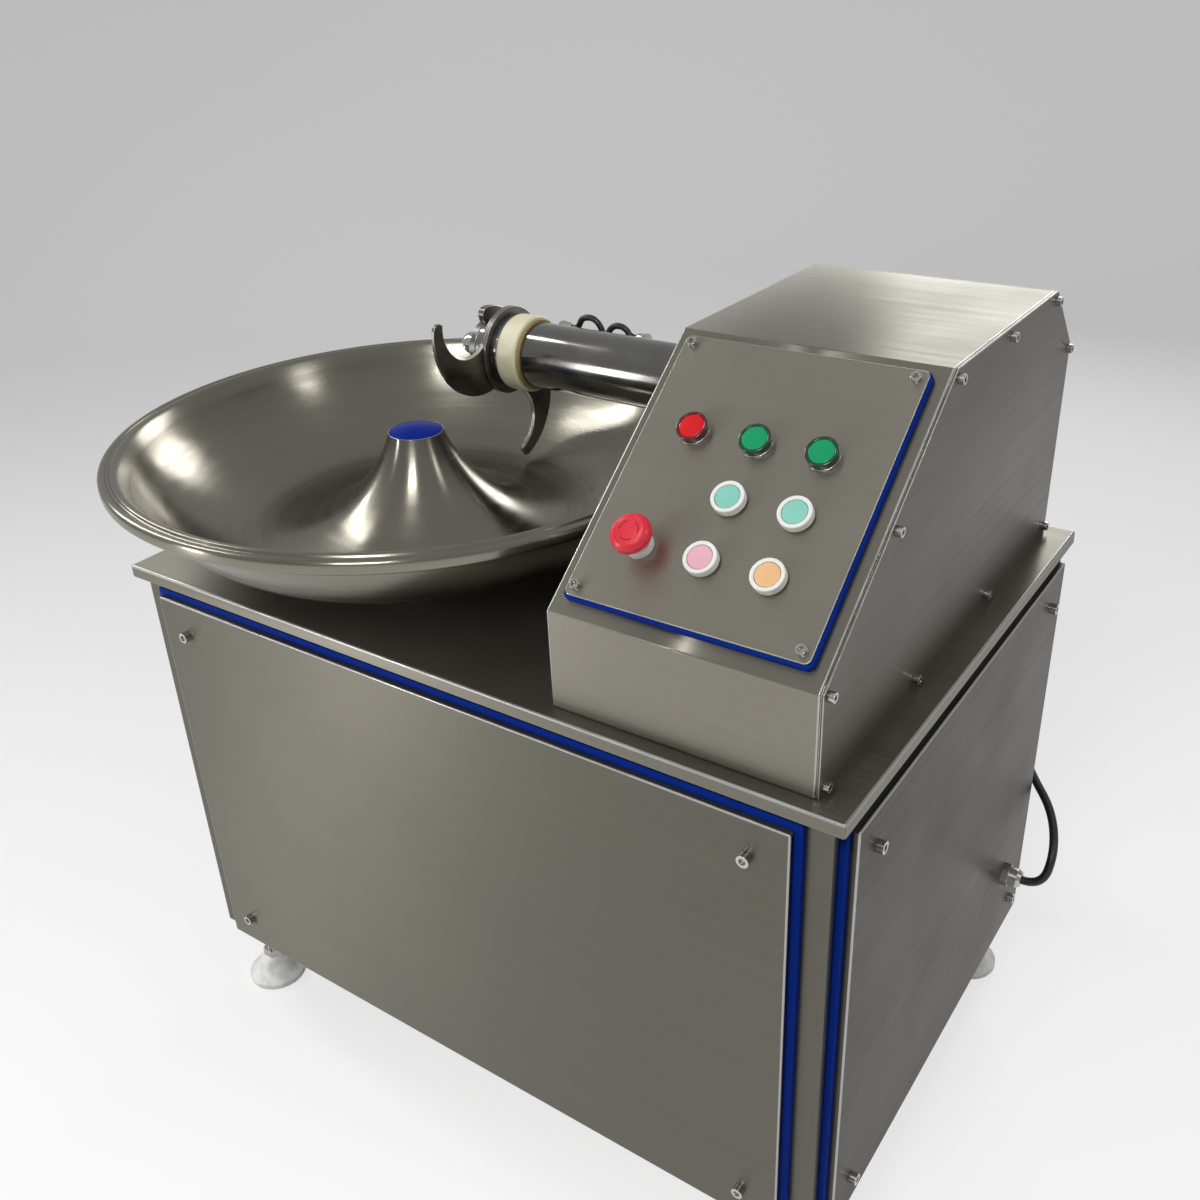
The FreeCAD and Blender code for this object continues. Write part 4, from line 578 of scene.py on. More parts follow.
BODY_MIDDLE = (0.0, 0.0, 0.6)
CABINET_MIDDLE = (0.0, 0.0, 0.4)
LAMPS = (
    ("left high", (-2.6, -0.2, 2.6), BODY_MIDDLE, (0.3, 1.6), 30),
    ("front high", (0.6, -2.4, 3.2), BODY_MIDDLE, (0.9, 0.4), 42),
    ("back strip", (-0.25, 2.9, 1.7), BODY_MIDDLE, (1.0, 1.2), 24),
    ("front soft", (-1.8, -2.4, 0.8), CABINET_MIDDLE, (0.3, 1.3), 20),
    ("right high", (2.6, 0.3, 2.5), BODY_MIDDLE, (0.4, 1.0), 9),
)


def make_lamp(name, place, aim, size, power):
    """A rectangular lamp at place that faces aim, in metres and watts."""
    data = bpy.data.lights.new(name, "AREA")
    data.shape = "RECTANGLE"
    data.size, data.size_y = size
    data.energy = power
    lamp = linked(name, data)
    lamp.location = place
    lamp.rotation_mode = "QUATERNION"
    lamp.rotation_quaternion = (Vector(aim) - Vector(place)).to_track_quat("-Z", "Y")


class CUTTER_OT_stage(bpy.types.Operator):
    """Makes the floor, the lamps, the world and the camera"""

    bl_idname = "cutter.stage"
    bl_label = "Stage"

    def execute(self, context):
        scene = context.scene
        scene.view_settings.view_transform = "Standard"
        make_camera()
        add_sweep()
        world = bpy.data.worlds.new("studio")
        scene.world = world
        world.use_nodes = True
        tree = world.node_tree
        sky = tree.nodes["Background"]
        where = tree.nodes.new("ShaderNodeTexCoord").outputs["Generated"]
        split = tree.nodes.new("ShaderNodeSeparateXYZ")
        feed(split, Vector=where)
        ramp = tree.nodes.new("ShaderNodeValToRGB")
        ramp.color_ramp.elements[0].position = 0.0
        ramp.color_ramp.elements[0].color = (0.42, 0.42, 0.42, 1)
        ramp.color_ramp.elements[1].position = 0.9
        ramp.color_ramp.elements[1].color = (0.54, 0.54, 0.545, 1)
        feed(ramp, Fac=split.outputs["Z"])
        feed(sky, Color=ramp.outputs["Color"], Strength=0.9)
        for lamp in LAMPS:
            make_lamp(*lamp)
        return {"FINISHED"}


SWEEP_AHEAD = 3.2
SWEEP_BEND = 1.6
SWEEP_HEIGHT = 9.0
SWEEP_BEHIND = 6.0
SWEEP_HALF_WIDTH = 9.0
SWEEP_NEAR_GLOW, SWEEP_NEAR_END = 0.74, -1.4
SWEEP_FAR_GLOW, SWEEP_FAR_END = 0.36, 2.6


def add_sweep():
    """The floor, curved up into a wall behind the object, square to the camera.

    Its map runs along the section, so that the glow can fall off from the floor to the wall.
    """
    a = np.linspace(0, np.pi / 2, 24)
    bend = np.column_stack([SWEEP_AHEAD + SWEEP_BEND * np.sin(a), SWEEP_BEND * (1 - np.cos(a))])
    section = np.concatenate([[(-SWEEP_BEHIND, 0)], bend, [(SWEEP_AHEAD + SWEEP_BEND, SWEEP_HEIGHT)]])
    run = np.concatenate([[0], np.cumsum(np.linalg.norm(np.diff(section, axis=0), axis=1))])
    run = run - SWEEP_BEHIND
    count = len(section)
    side = np.repeat([-SWEEP_HALF_WIDTH, SWEEP_HALF_WIDTH], count)
    points = np.column_stack([side, np.tile(section[:, 0], 2), np.tile(section[:, 1], 2)])
    turn = np.array(Matrix.Rotation(PHOTO_AZIMUTH, 3, "Z"))
    faces = [[i, count + i, count + i + 1, i + 1] for i in range(count - 1)]
    mesh = bpy.data.meshes.new("sweep")
    mesh.from_pydata((points @ turn.T).tolist(), [], faces)
    chart = np.tile(run, 2)[np.array(faces).ravel()]
    layer = mesh.uv_layers.new(name="finish")
    layer.data.foreach_set("uv", np.column_stack([chart, np.zeros(len(chart))]).astype(np.float32).ravel())
    mesh.polygons.foreach_set("use_smooth", np.full(len(faces), True))
    mesh.materials.append(sweep_finish())
    return linked("sweep", mesh)


def sweep_finish():
    """Matte grey that takes the shadow, plus its own pale glow, which only the camera and
    reflections see. The glow fades from the floor near the camera to the wall, and a view from
    behind looks through the wall's back."""
    material, tree, shader = new_finish("studio sweep", (0.32, 0.32, 0.32), 0.0, 0.9)
    behind = tree.nodes.new("ShaderNodeMixShader")
    feed(behind, Fac=tree.nodes.new("ShaderNodeNewGeometry").outputs["Backfacing"])
    tree.links.new(shader.outputs["BSDF"], behind.inputs[1])
    tree.links.new(tree.nodes.new("ShaderNodeBsdfTransparent").outputs["BSDF"], behind.inputs[2])
    tree.links.new(behind.outputs["Shader"], tree.nodes["Material Output"].inputs["Surface"])
    chart = tree.nodes.new("ShaderNodeUVMap")
    chart.uv_map = "finish"
    split = tree.nodes.new("ShaderNodeSeparateXYZ")
    feed(split, Vector=chart.outputs["UV"])
    glow = spread(tree, split.outputs["X"], SWEEP_NEAR_GLOW, SWEEP_FAR_GLOW, SWEEP_NEAR_END,
                  SWEEP_FAR_END)
    glow.node.interpolation_type = "SMOOTHSTEP"
    path = tree.nodes.new("ShaderNodeLightPath")
    seen = arithmetic(tree, "MAXIMUM", path.outputs["Is Camera Ray"], path.outputs["Is Glossy Ray"])
    seen = arithmetic(tree, "MAXIMUM", seen, path.outputs["Is Transmission Ray"])
    feed(shader, Specular_IOR_Level=0.0, Emission_Color=(1, 1, 1, 1),
         Emission_Strength=arithmetic(tree, "MULTIPLY", glow, seen))
    return material


# Leads

def lead_curve(name, points, radius, body, material):
    """A round lead whose centreline is a smooth spline with the route's points as its controls."""
    data = bpy.data.curves.new(name, "CURVE")
    data.dimensions = "3D"
    spline = data.splines.new("NURBS")
    spline.points.add(len(points) - 1)
    for control, point in zip(spline.points, points):
        control.co = (*point, 1)
        control.radius = radius
    spline.order_u = 3
    spline.use_endpoint_u = True
    spline.resolution_u = 12
    data.bevel_depth = 1.0
    data.bevel_resolution = 5
    data.use_fill_caps = True
    obj = linked(name, data)
    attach(obj, body)
    data.materials.append(material)
    return obj


def from_table(x, y, z):
    """A point given in millimetres from the middle of the table and from the floor."""
    return Vector((TABLE_MIDDLE.x + x * MM, TABLE_MIDDLE.y + y * MM, z * MM))


class CUTTER_OT_leads(bpy.types.Operator):
    """Makes the side lead and the short lead on the rail"""

    bl_idname = "cutter.leads"
    bl_label = "Leads"

    def execute(self, context):
        sheath = plastic("black sheath", (0.012, 0.012, 0.012), 0.38, 0.15)
        side = [from_table(*p) for p in (
            (495, 208, 236), (521, 208, 236), (526, 228, 282), (503, 284, 300), (461, 327, 315),
            (440, 360, 322), (421, 391, 323), (385, 391, 318), (385, 352, 318))]
        lead = lead_curve("side_lead_cord", side, 5.5 * MM, "machine", sheath)
        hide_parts("side_lead")
        bar_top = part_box("sensor_rail")[1].z / MM
        seat = bar_top + 8 * math.cos(math.pi / 6)
        dip, tall, low = bar_top - 1.5, seat + 17, seat + 12
        start, end, across = -151, -52, 170
        rail = [from_table(x, across, z) for x, z in (
            (start, seat), (start + 9, seat), (start + 16, tall), (start + 40, tall),
            (start + 51, dip), (start + 62, low), (start + 82, low), (end - 9, seat), (end, seat))]
        short = lead_curve("rail_lead_cord", rail, 4 * MM, "machine", sheath)
        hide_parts("rail_lead")
        return {"FINISHED"}


# Bowl

ARC_OFFSET = KNIFE_Y - BOWL_Y
BOWL_INSIDE = 160.5 * MM
BOWL_OUTSIDE = 164.5 * MM
CAP_WALL = 1.6 * MM
CAP_RING_WIDTH, CAP_RING_HEIGHT = 1.2 * MM, 1.4 * MM


def bowl_outline():
    """Closed section of the bowl as (radius, height): inner arc, stepped rim, outer arc, hub.

    Both arcs are circles about the knife axis, which lies ARC_OFFSET from the bowl's own axis.
    """
    rim_top, rim_low = BOWL_HIGH.z, BOWL_HIGH.z - 17 * MM
    hub_top = rim_top - 8 * MM
    outer = (BOWL_HIGH.x - BOWL_LOW.x) / 2
    inner = outer - 23 * MM

    def arc(radius, start, end, steps):
        """Points r = offset + R cos a, z = axis + R sin a."""
        a = np.linspace(start, end, steps)
        return np.column_stack([ARC_OFFSET + radius * np.cos(a), KNIFE_Z + radius * np.sin(a)])

    def rise(height, radius):
        """Angle above the knife axis at which an arc reaches a height."""
        return math.asin((height - KNIFE_Z) / radius)

    inside = arc(BOWL_INSIDE, -math.pi - rise(hub_top, BOWL_INSIDE),
                 rise(rim_low + 3 * MM, BOWL_INSIDE), 72)
    outside = arc(BOWL_OUTSIDE, rise(rim_low, BOWL_OUTSIDE),
                  -math.pi - rise(hub_top - 5 * MM, BOWL_OUTSIDE), 60)
    rim = [(inside[-1][0], inside[-1][1]), (inner, rim_top - 3 * MM), (inner + 3 * MM, rim_top),
           (outer - 14 * MM, rim_top), (outer - 12.5 * MM, rim_top - 3 * MM),
           (outer - 9.5 * MM, rim_top - 3 * MM), (outer - 8 * MM, rim_top - 1 * MM),
           (outer - 3 * MM, rim_top - 1 * MM), (outer, rim_top - 4 * MM), (outer, rim_low + 3 * MM),
           (outer - 3 * MM, rim_low), (outside[0][0], outside[0][1])]
    rim = rounded_path(rim, sizes().rim_round, 4)
    hub = np.array([(8.3 * MM, hub_top - 5 * MM), (8.3 * MM, hub_top)])
    neck = np.array([(inside[0][0] - 3 * MM, hub_top)])
    return np.concatenate([inside[1:], rim[1:-1], outside, hub, neck, inside[:2]])


class CUTTER_OT_bowl(bpy.types.Operator):
    """Makes the spun bowl, its blue cap and the bright ring round the cap"""

    bl_idname = "cutter.bowl"
    bl_label = "Bowl"

    def execute(self, context):
        place = [upright(BOWL_X, BOWL_Y)]
        bowl = turned("spun_bowl", bowl_outline(), place, "bowl_unit", 224)
        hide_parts("bowl")
        paint(bowl, bowl_finish())
        low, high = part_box("bowl_cap")
        radius = (high.x - low.x) / 2
        inner, ring_top = radius - CAP_RING_WIDTH, low.z + CAP_RING_HEIGHT
        wall, rise = low.z + CAP_WALL, high.z - low.z - CAP_WALL
        t = np.linspace(0, 1, 14)
        dome = np.column_stack([inner * (1 - t), wall + rise * (1 - (1 - t) ** 2)])
        form = np.concatenate([[(0, low.z), (inner, low.z)], dome])
        cap = turned("blue_cap", form, place, "bowl_unit")
        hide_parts("bowl_cap")
        paint(cap, plastic("blue cap plastic", tuple(colours().cap), 0.25, 0.04, gloss=0.05))
        ring = rounded_path([(inner, low.z), (radius, low.z), (radius, ring_top), (inner, ring_top),
                             (inner, low.z)], 0.5 * MM, 4)
        collar = turned("cap_ring", ring, place, "bowl_unit")
        paint(collar, polished_steel("cap ring steel", 0.2))
        return {"FINISHED"}


# Knife head

TUBE_BORE = 34 * MM
SHAFT_BORE = 16 * MM
RING_RADIUS = 48.5 * MM
SEAL_RADIUS = 45 * MM


def on_shaft(name, node, bore, outline, bend, steps=5, turns=None):
    """A ring about the knife axis, as long as its solid: bore, outline, straight wall."""
    low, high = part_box(node)
    length = high.x - low.x
    form = rounded_path([(bore, 0), *outline, (outline[-1][0], length), (bore, length)], bend, steps)
    ring = turned(name, form, [along_x(low.x, KNIFE_Y, KNIFE_Z)], "machine", turns)
    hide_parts(node)
    return ring


class CUTTER_OT_knife_head(bpy.types.Operator):
    """Makes the shaft housing with its ring and seal, and finishes the knives, discs and nut"""

    bl_idname = "cutter.knife_head"
    bl_label = "Knife head"

    def execute(self, context):
        tube = on_shaft("shaft_housing", "shaft_housing_tube", TUBE_BORE,
                        [((TUBE_HIGH.z - TUBE_LOW.z) / 2, 0)], 1.2 * MM, turns=128)
        # Painted shade: the polished housing is darkened to 0.42 for the dark surroundings it reflects.
        paint(tube, polished_steel("shaft housing steel", 0.12, 0.42, (0.02, 1, 1)))
        ring = on_shaft("ivory_ring", "nylon_ring", SHAFT_BORE,
                        [(RING_RADIUS - 1 * MM, 0), (RING_RADIUS, 4 * MM)], 3.5 * MM, 7, 128)
        paint(ring, plastic("ivory nylon", tuple(colours().ivory), 0.38, 0.05, 0.0, 0.25))
        seal = on_shaft("tan_seal", "shaft_seal", SHAFT_BORE, [(SEAL_RADIUS, 0)], 1.4 * MM)
        paint(seal, plastic("tan seal rubber", (0.30, 0.22, 0.09), 0.5, 0.12))
        blade = knife_steel()
        for node in ("knife_a", "knife_b"):
            paint(dressed(node, 0.3 * MM), blade)
        paint(dressed("knife_counterweight", 0.6 * MM), blade)
        disc = polished_steel("disc steel", 0.16, 0.55)
        paint(dressed("clamp_discs", 0.3 * MM), disc)
        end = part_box("dome_nut")[1].x
        a = np.linspace(0, np.pi / 2, 14)
        dome = np.column_stack([15 * np.cos(a), 24 + 14 * np.sin(a)]) * MM
        flange = rounded_path([(8 * MM, 0), (20 * MM, 0), (20 * MM, 4 * MM), (15 * MM, 4 * MM),
                               (15 * MM, 24 * MM)], 0.6 * MM, 3)
        bore = np.array([(0, 20), (8, 20), (8, 0)]) * MM
        outwards = Matrix.Translation((end, KNIFE_Y, KNIFE_Z)) @ Matrix.Rotation(-math.pi / 2, 4, "Y")
        nut = turned("dome_nut_form", np.concatenate([flange, dome[1:], bore]), [outwards], "knife_head")
        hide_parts("dome_nut")
        paint(nut, polished_steel("nut steel", 0.1, 1.05))
        paint(frame["nodes"]["knife_shaft"], disc)
        return {"FINISHED"}


# Cabinet

GASKET_THICK = 7 * MM
GASKET_LIP = 8 * MM
GASKET_BAND = 40 * MM


def facing(way, reach, low):
    """A plate's own frame on one side of the cabinet: x along the side, y up, z outwards."""
    way = Vector(way)
    turn = Matrix((UP.cross(way), UP, way)).transposed().to_4x4()
    middle = Vector((TABLE_MIDDLE.x, TABLE_MIDDLE.y, low))
    return Matrix.Translation(middle + way * reach) @ turn


def folded_layers(depth, bend, steps=5):
    """A folded tray's layers from its back rim to its face: straight wall, then a round bend."""
    a = np.linspace(0, np.pi / 2, steps)
    turn = np.column_stack([bend * (1 - np.cos(a)), depth - bend * (1 - np.sin(a))])
    return np.concatenate([[(0.4 * MM, 0), (0, 0.4 * MM)], turn])


class CUTTER_OT_cabinet(bpy.types.Operator):
    """Makes the table, the four panels and their blue gaskets, and finishes the frame"""

    bl_idname = "cutter.cabinet"
    bl_label = "Cabinet"

    def execute(self, context):
        bend = sizes().sheet_bend
        # Painted shade: the front and rear panels' steel is darkened to 0.5, the side panels' to 0.3.
        along = brushed_sheet("brushed sheet along", "x", 0.4, 0.5)
        across = brushed_sheet("brushed sheet across", "y", 0.4, 0.3)
        size = TABLE_HIGH - TABLE_LOW
        table = plate_piece("folded_table", rectangle(size.x, size.y, TABLE_LOW.x, TABLE_LOW.y), 2.6 * MM,
                            folded_layers(size.z, bend), upright(0, 0, TABLE_LOW.z), "machine")
        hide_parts("table_top")
        # Painted light: the table's steel is scaled to 0.7 of the sheet colour for how the light falls on
        # it.
        paint(table, brushed_sheet("brushed table", "x", 0.4, 0.7))
        # Painted highlight: a polished steel brighter than the sheet, for bright lines on the edges and
        # bends.
        edge_highlight_steel = polished_steel("edge highlight steel", 0.3, 0.8)
        painted_highlight_edges(table, upright(0, 0), edge_highlight_steel)
        blue = plastic("blue silicone", tuple(colours().gasket), 0.5, 0.06, gloss=0.05)
        gaskets = []
        for node, way in (("front_panel", (0, -1, 0)), ("rear_panel", (0, 1, 0)),
                          ("left_panel", (-1, 0, 0)), ("right_panel", (1, 0, 0))):
            low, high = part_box(node)
            axis = 1 if way[0] == 0 else 0
            width = (high - low)[1 - axis]
            height = high.z - low.z
            sheet = (high - low)[axis]
            middle = TABLE_MIDDLE[axis]
            reach = max(abs(high[axis] - middle), abs(low[axis] - middle))
            place = facing(way, reach - sheet, low.z)
            panel = plate_piece("folded_" + node, rectangle(width, height, -width / 2, 0), 2.4 * MM,
                                folded_layers(sheet, 1.8 * MM), place, "machine")
            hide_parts(node)
            paint(panel, along if axis == 1 else across)
            painted_highlight_edges(panel, place, edge_highlight_steel)
            gaskets.append((node, way, reach - sheet, width, low.z, height))
        for node, way, face, width, low, height in gaskets:
            place = facing(way, face - GASKET_THICK, low - GASKET_LIP)
            corners = rectangle(width + 2 * GASKET_LIP, height + 2 * GASKET_LIP, -width / 2 - GASKET_LIP)
            gasket = frame_piece("gasket_" + node, corners, 3 * MM, GASKET_BAND, GASKET_THICK, place,
                                 "machine")
            paint(gasket, blue)
            if node == "front_panel":
                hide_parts("panel_gaskets")
        # Painted shade: the posts' steel is darkened to 0.4 of the sheet colour.
        posts = brushed_sheet("brushed post", "z", 0.36, 0.4, False)
        paint(dressed("corner_posts", 1.2 * MM), posts)
        for node in ("frame_rails", "base_plate"):
            paint(frame["nodes"][node], posts)
        return {"FINISHED"}


# Control housing

def housing_corners():
    """Side outline of the housing as (y, z), counter-clockwise seen from +X."""
    front, back = HOUSING_LOW.y, HOUSING_HIGH.y
    low, top = HOUSING_LOW.z, HOUSING_HIGH.z
    fold = sizes().back_fold
    bend = low + sizes().front_wall
    slope_top = front + (top - bend) / math.tan(sizes().slope_angle)
    return [(front, low), (back, low), (back, top - fold), (back - fold, top), (slope_top, top),
            (front, bend)]


SIDEWAYS = Matrix(((0, 0, 1, 0), (1, 0, 0, 0), (0, 1, 0, 0), (0, 0, 0, 1)))
HOUSING_EDGE = 2.2 * MM
PLATE_ON_SLOPE = rectangle(248 * MM, 289.5 * MM, 15 * MM, 18.5 * MM)
GASKET_ON_SLOPE = rectangle(252 * MM, 294 * MM, 13 * MM, 15.5 * MM)
PLATE_THICK = 3 * MM
PLATE_TOP = GASKET_THICK + PLATE_THICK


def slope_place():
    """Frame of the sloped wall: x across, y up the slope, z out of it, from the lower bend."""
    corner = Vector((HOUSING_LOW.x, HOUSING_LOW.y, HOUSING_LOW.z + sizes().front_wall))
    return Matrix.Translation(corner) @ Matrix.Rotation(sizes().slope_angle, 4, "X")


class CUTTER_OT_housing(bpy.types.Operator):
    """Makes the control housing, its side plate, the control plate and its blue gasket"""

    bl_idname = "cutter.housing"
    bl_label = "Control housing"

    def execute(self, context):
        # Painted highlight: a polished steel brighter than the sheet, for bright lines on the housing's
        # edges.
        edge_highlight_steel = polished_steel("housing edge highlight steel", 0.3, 0.9)
        # Painted light: the housing's steel is 0.85 of the sheet colour, the side plate's a painted shade
        # at 0.42.
        covers = (("housing_shell", "control_housing", HOUSING_LOW.x, HOUSING_HIGH.x, HOUSING_EDGE,
                   brushed_sheet("brushed housing", "x", 0.36, 0.85)),
                  ("side_cover", "housing_side_plate", SIDE_LOW.x, SIDE_HIGH.x, sizes().plate_edge,
                   brushed_sheet("brushed side plate", "y", 0.36, 0.42)))
        for name, node, start, end, edge, steel in covers:
            cover = plate_piece(name, housing_corners(), 3 * MM, edge_layers(end - start, edge),
                                Matrix.Translation((start, 0, 0)) @ SIDEWAYS, "machine")
            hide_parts(node)
            paint(cover, steel)
            painted_highlight_edges(cover, SIDEWAYS, edge_highlight_steel)
        slope = slope_place()
        gasket = plate_piece("plate_gasket", GASKET_ON_SLOPE, 7 * MM, edge_layers(GASKET_THICK, 1.2 * MM),
                             slope, "machine")
        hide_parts("control_gasket")
        blue = plastic("blue silicone seat", tuple(colours().gasket), 0.5, 0.06, gloss=0.05)
        paint(gasket, blue)
        plate = plate_piece("control_face", PLATE_ON_SLOPE, 6 * MM,
                            edge_layers(PLATE_THICK, sizes().plate_edge),
                            slope @ Matrix.Translation((0, 0, GASKET_THICK)), "machine")
        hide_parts("control_plate")
        # Painted light: the control plate's steel is lifted to 1.15 of the sheet colour.
        paint(plate, brushed_sheet("brushed control plate", "x", 0.36, 1.15))
        painted_highlight_edges(plate, slope, edge_highlight_steel)
        return {"FINISHED"}


# Controls

FIRST_CONTROL = Vector((69, 82)) * MM
COLUMN_STEP, ROW_STEP = 66 * MM, 62 * MM
CONTROLS = {"estop": (0, 0), "pink": (1, 0), "orange": (2, 0), "teal_left": (1, 1),
            "teal_right": (2, 1), "red_lamp": (0, 2), "green_lamp_left": (1, 2),
            "green_lamp_right": (2, 2)}


def control_place(name):
    """A control's own frame on the plate's face, its Z out of the slope."""
    column, row = CONTROLS[name]
    spot = (FIRST_CONTROL.x + COLUMN_STEP * column, FIRST_CONTROL.y + ROW_STEP * row, PLATE_TOP)
    return slope_place() @ Matrix.Translation(spot)


def mm_profile(points, bend, steps=5):
    return rounded_path([(r * MM, h * MM) for r, h in points], bend * MM, steps)


def fitted(name, points, bend, controls, body, steps=64):
    """A form turned from points in millimetres, at the place of each of the named controls."""
    return turned(name, mm_profile(points, bend), [control_place(c) for c in controls], body, steps)


class CUTTER_OT_controls(bpy.types.Operator):
    """Makes the push-buttons, the lamps and the emergency stop"""

    bl_idname = "cutter.controls"
    bl_label = "Controls"

    def execute(self, context):
        white = plastic("white moulding", (0.83, 0.83, 0.80), 0.3, 0.02, 0.2, 0.1)
        chrome = polished_steel("plated ring", 0.2, 0.7)
        buttons = {"teal_left": (0.24, 0.60, 0.50), "teal_right": (0.24, 0.60, 0.50),
                   "pink": (0.78, 0.42, 0.52), "orange": (0.85, 0.50, 0.24)}
        base = [(11.5, 0), (13.6, 0), (13.6, 2.2), (11.5, 2.2)]
        paint(fitted("button_bases", base, 0.4, buttons, "machine"), chrome)
        form = [(8.6, -8), (11, -8), (11, 0.2), (11.5, 2), (16, 2.2), (16, 11), (12.1, 11),
                (12.1, 3), (8.6, 3), (8.6, -8)]
        collars = fitted("white_collars", form, 1.0, buttons, "machine")
        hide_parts("button_collars")
        paint(collars, white)
        form = [(0, -4.5), (8.2, -4.5), (8.3, 7.3), (11.7, 7.3), (11.7, 10.5), (0, 10.5)]
        for name, tone in buttons.items():
            cap = fitted("cap_" + name, form, 0.7, [name], "push_" + name)
            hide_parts("button_" + name)
            paint(cap, plastic(name + " cap", tone, 0.4, 0.03, 0.15, 0.1))
        self.make_lamps(chrome)
        self.make_stop(white)
        return {"FINISHED"}

    def make_lamps(self, chrome):
        red = (0.10, 0.004, 0.006), (0.66, 0.004, 0.008)
        green = (0.004, 0.045, 0.022), (0.002, 0.31, 0.12)
        tones = {"red_lamp": red, "green_lamp_left": green, "green_lamp_right": green}
        form = [(8, -8), (11, -8), (11, 0), (16, 0), (16, 3), (8, 3), (8, -8)]
        base = fitted("lamp_bases", form, 0.7, tones, "machine")
        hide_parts("lamp_bezels")
        paint(base, chrome)
        rim = [(12.4, 3), (15.3, 3), (15.3, 10.5), (12.4, 10.5), (12.4, 3)]
        face = [(0, 3), (12.3, 3), (12.3, 9.9), (0, 10.3)]
        for name, (dark, bright) in tones.items():
            ring = fitted("ring_" + name, rim, 1.0, [name], "machine")
            paint(ring, plastic(name + " ring", dark, 0.16, 0.08, 0.5))
            lens = fitted("lens_" + name, face, 0.8, [name], "machine")
            paint(lens, plastic(name + " lens", bright, 0.2, 0.05, 0.1, 0.1, 0.35))
        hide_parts("lamp_lens_red")
        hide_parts("lamp_lenses_green")

    def make_stop(self, white):
        form = [(8.6, -8), (11, -8), (11, 0), (14, 0), (14, 9), (8.6, 9), (8.6, -8)]
        collar = fitted("stop_collar", form, 1.2, ["estop"], "machine")
        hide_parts("estop_collar")
        paint(collar, white)
        red = plastic("stop red", tuple(colours().stop_red), 0.36, 0.03, 0.1)
        form = [(0, -4.5), (8.3, -4.5), (8.3, 14.3), (6, 14.3), (6, 23.1), (0, 23.1)]
        stem = fitted("stop_stem", form, 0.3, ["estop"], "stop_stem")
        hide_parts("estop_stem")
        paint(stem, red)
        form = [(0, 23.4), (6.05, 23.4), (6.05, 14.6), (9.8, 14.6), (17, 17.6), (20, 20.6),
                (20, 25.6), (17.6, 29.8), (14.4, 31.6), (13, 30.6), (4, 30.2), (0, 30.2)]
        head = fitted("stop_head", form, 2.0, ["estop"], "stop_head", 96)
        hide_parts("estop_head")
        paint(head, red)
        marks = plastic("stop marks", (0.30, 0.004, 0.012), 0.5, 0.05)
        section = (9.0, 30.1), (9.0, 30.7), (10.2, 30.7), (10.2, 30.1)
        steps = 12
        last = 3 * steps
        quads = sheet_faces(4, steps, False)
        close = np.array([[i, i + 1, last + i + 1, last + i] for i in range(steps - 1)])
        ends = np.array([[end + steps * i for i in range(4)] for end in (0, steps - 1)])
        verts, faces = [], []
        for dash in range(3):
            a = np.linspace(0, math.radians(70), steps) + math.radians(120 * dash)
            verts += [np.column_stack([r * np.cos(a), r * np.sin(a), np.full(steps, z)]) * MM
                      for r, z in section]
            faces += (np.concatenate([quads, close, ends]) + 4 * steps * dash).tolist()
        points = placed(np.concatenate(verts), control_place("estop"))
        dashes = add_object("stop_marks", points, faces, "stop_head", smooth=False)
        tidy_mesh(dashes)
        paint(dashes, marks)


# Feet and fastenings

class CUTTER_OT_feet(bpy.types.Operator):
    """Makes the white foot pads and finishes their stems"""

    bl_idname = "cutter.feet"
    bl_label = "Feet"

    def execute(self, context):
        low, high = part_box("foot_pads")
        radius = 40 * MM
        places = [upright(x, y) for x in (low.x + radius, high.x - radius)
                  for y in (low.y + radius, high.y - radius)]
        form = mm_profile([(0, 0), (38.6, 0), (40, 1.4), (40, 8.5), (37, 10.2), (28, 13.5), (18, 33.5),
                           (15, 38), (0, 38)], 2.6)
        pads = turned("white_pads", form, places, "machine", 72)
        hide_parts("foot_pads")
        paint(pads, worn_white("white nylon", (0.80, 0.80, 0.76)))
        paint(dressed("foot_stems", 0.4 * MM), polished_steel("stem steel", 0.25, 0.8))
        return {"FINISHED"}


class CUTTER_OT_fastenings(bpy.types.Operator):
    """Finishes the screws, the glands and the small rail"""

    bl_idname = "cutter.fastenings"
    bl_label = "Fastenings"

    def execute(self, context):
        bright = polished_steel("screw steel", 0.16, 1.0)
        for node in ("panel_screws", "cover_screws"):
            paint(dressed(node, 0.35 * MM), bright)
        paint(dressed("cable_glands", 0.4 * MM), polished_steel("plated gland", 0.2, 0.95))
        rail_steel = brushed_sheet("brushed rail", "x", 0.28, 1.0, False)
        paint(dressed("sensor_rail", 0.6 * MM), rail_steel)
        return {"FINISHED"}


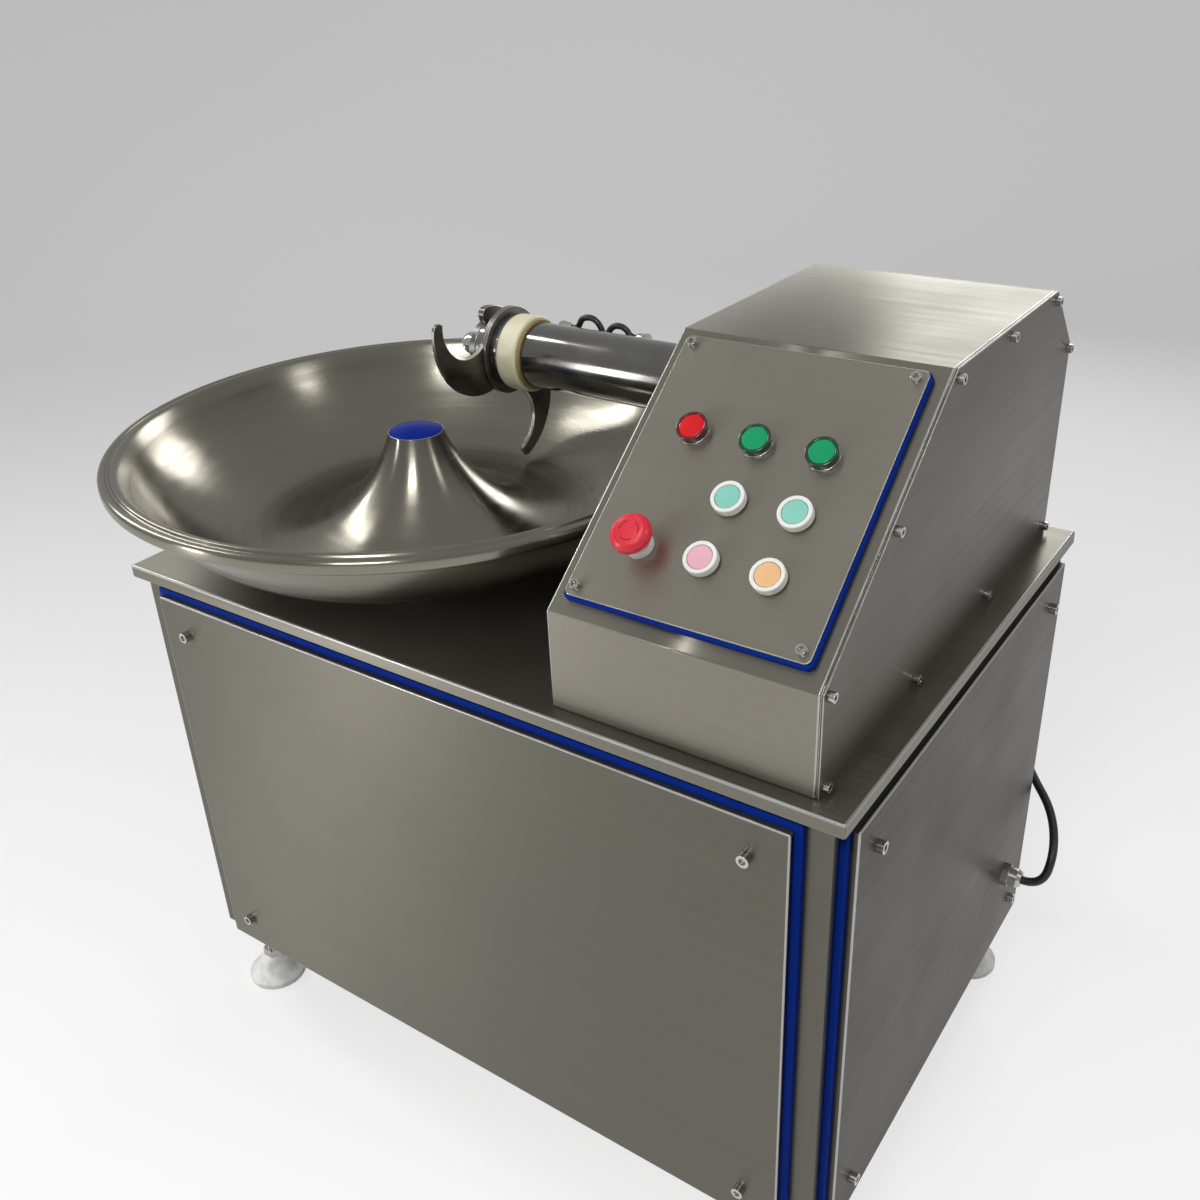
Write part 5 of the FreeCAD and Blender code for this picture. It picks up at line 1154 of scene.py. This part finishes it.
class CUTTER_OT_inside(bpy.types.Operator):
    """Finishes the drives and the fittings inside the cabinet and the housing"""

    bl_idname = "cutter.inside"
    bl_label = "Inside"

    def execute(self, context):
        paint_blue = plastic("motor paint", (0.05, 0.10, 0.17), 0.4, 0.08)
        iron = plastic("grey iron", (0.12, 0.12, 0.12), 0.6, 0.12)
        iron.node_tree.nodes["Principled BSDF"].inputs["Metallic"].default_value = 0.7
        belt = plastic("belt rubber", (0.015, 0.015, 0.015), 0.7, 0.15)
        black = plastic("black moulding", (0.02, 0.02, 0.02), 0.45, 0.1)
        turned_steel = polished_steel("turned steel", 0.24, 0.85)
        finishes = {"bowl_gearbox": paint_blue, "bowl_motor": paint_blue, "knife_motor": paint_blue,
                    "bearing_pedestal": iron, "knife_pulley": iron, "motor_pulley": iron,
                    "bowl_bearing_housing": turned_steel, "bowl_carrier": turned_steel,
                    "bowl_shaft": turned_steel, "motor_shaft": turned_steel,
                    "shaft_bearings": turned_steel, "drive_belts": belt, "contact_blocks": black,
                    "electrical_plate": black}
        for node, finish in finishes.items():
            paint(frame["nodes"][node], finish)
        return {"FINISHED"}


class CUTTER_PT_panel(bpy.types.Panel):
    """Lists the cutter's parts"""

    bl_idname = "CUTTER_PT_panel"
    bl_label = "Meat bowl cutter"
    bl_space_type = "VIEW_3D"
    bl_region_type = "UI"
    bl_category = "Cutter"

    def draw(self, context):
        for operator in OPERATORS:
            self.layout.operator(operator.bl_idname)
        for group in (context.scene.cutter_sizes, context.scene.cutter_colours):
            for name in group.__annotations__:
                self.layout.prop(group, name)


OPERATORS = (CUTTER_OT_stage, CUTTER_OT_leads, CUTTER_OT_bowl, CUTTER_OT_knife_head,
             CUTTER_OT_cabinet, CUTTER_OT_housing, CUTTER_OT_controls, CUTTER_OT_feet,
             CUTTER_OT_fastenings, CUTTER_OT_inside)
CLASSES = (CutterSizes, CutterColours, *OPERATORS, CUTTER_PT_panel)


def register():
    for cls in CLASSES:
        bpy.utils.register_class(cls)
    bpy.types.Scene.cutter_sizes = bpy.props.PointerProperty(type=CutterSizes)
    bpy.types.Scene.cutter_colours = bpy.props.PointerProperty(type=CutterColours)


def unregister():
    del bpy.types.Scene.cutter_sizes
    del bpy.types.Scene.cutter_colours
    for cls in reversed(CLASSES):
        bpy.utils.unregister_class(cls)


def main():
    register()
    for operator in OPERATORS:
        group, name = operator.bl_idname.split(".")
        getattr(getattr(bpy.ops, group), name)()


if __name__ == "__main__":
    main()
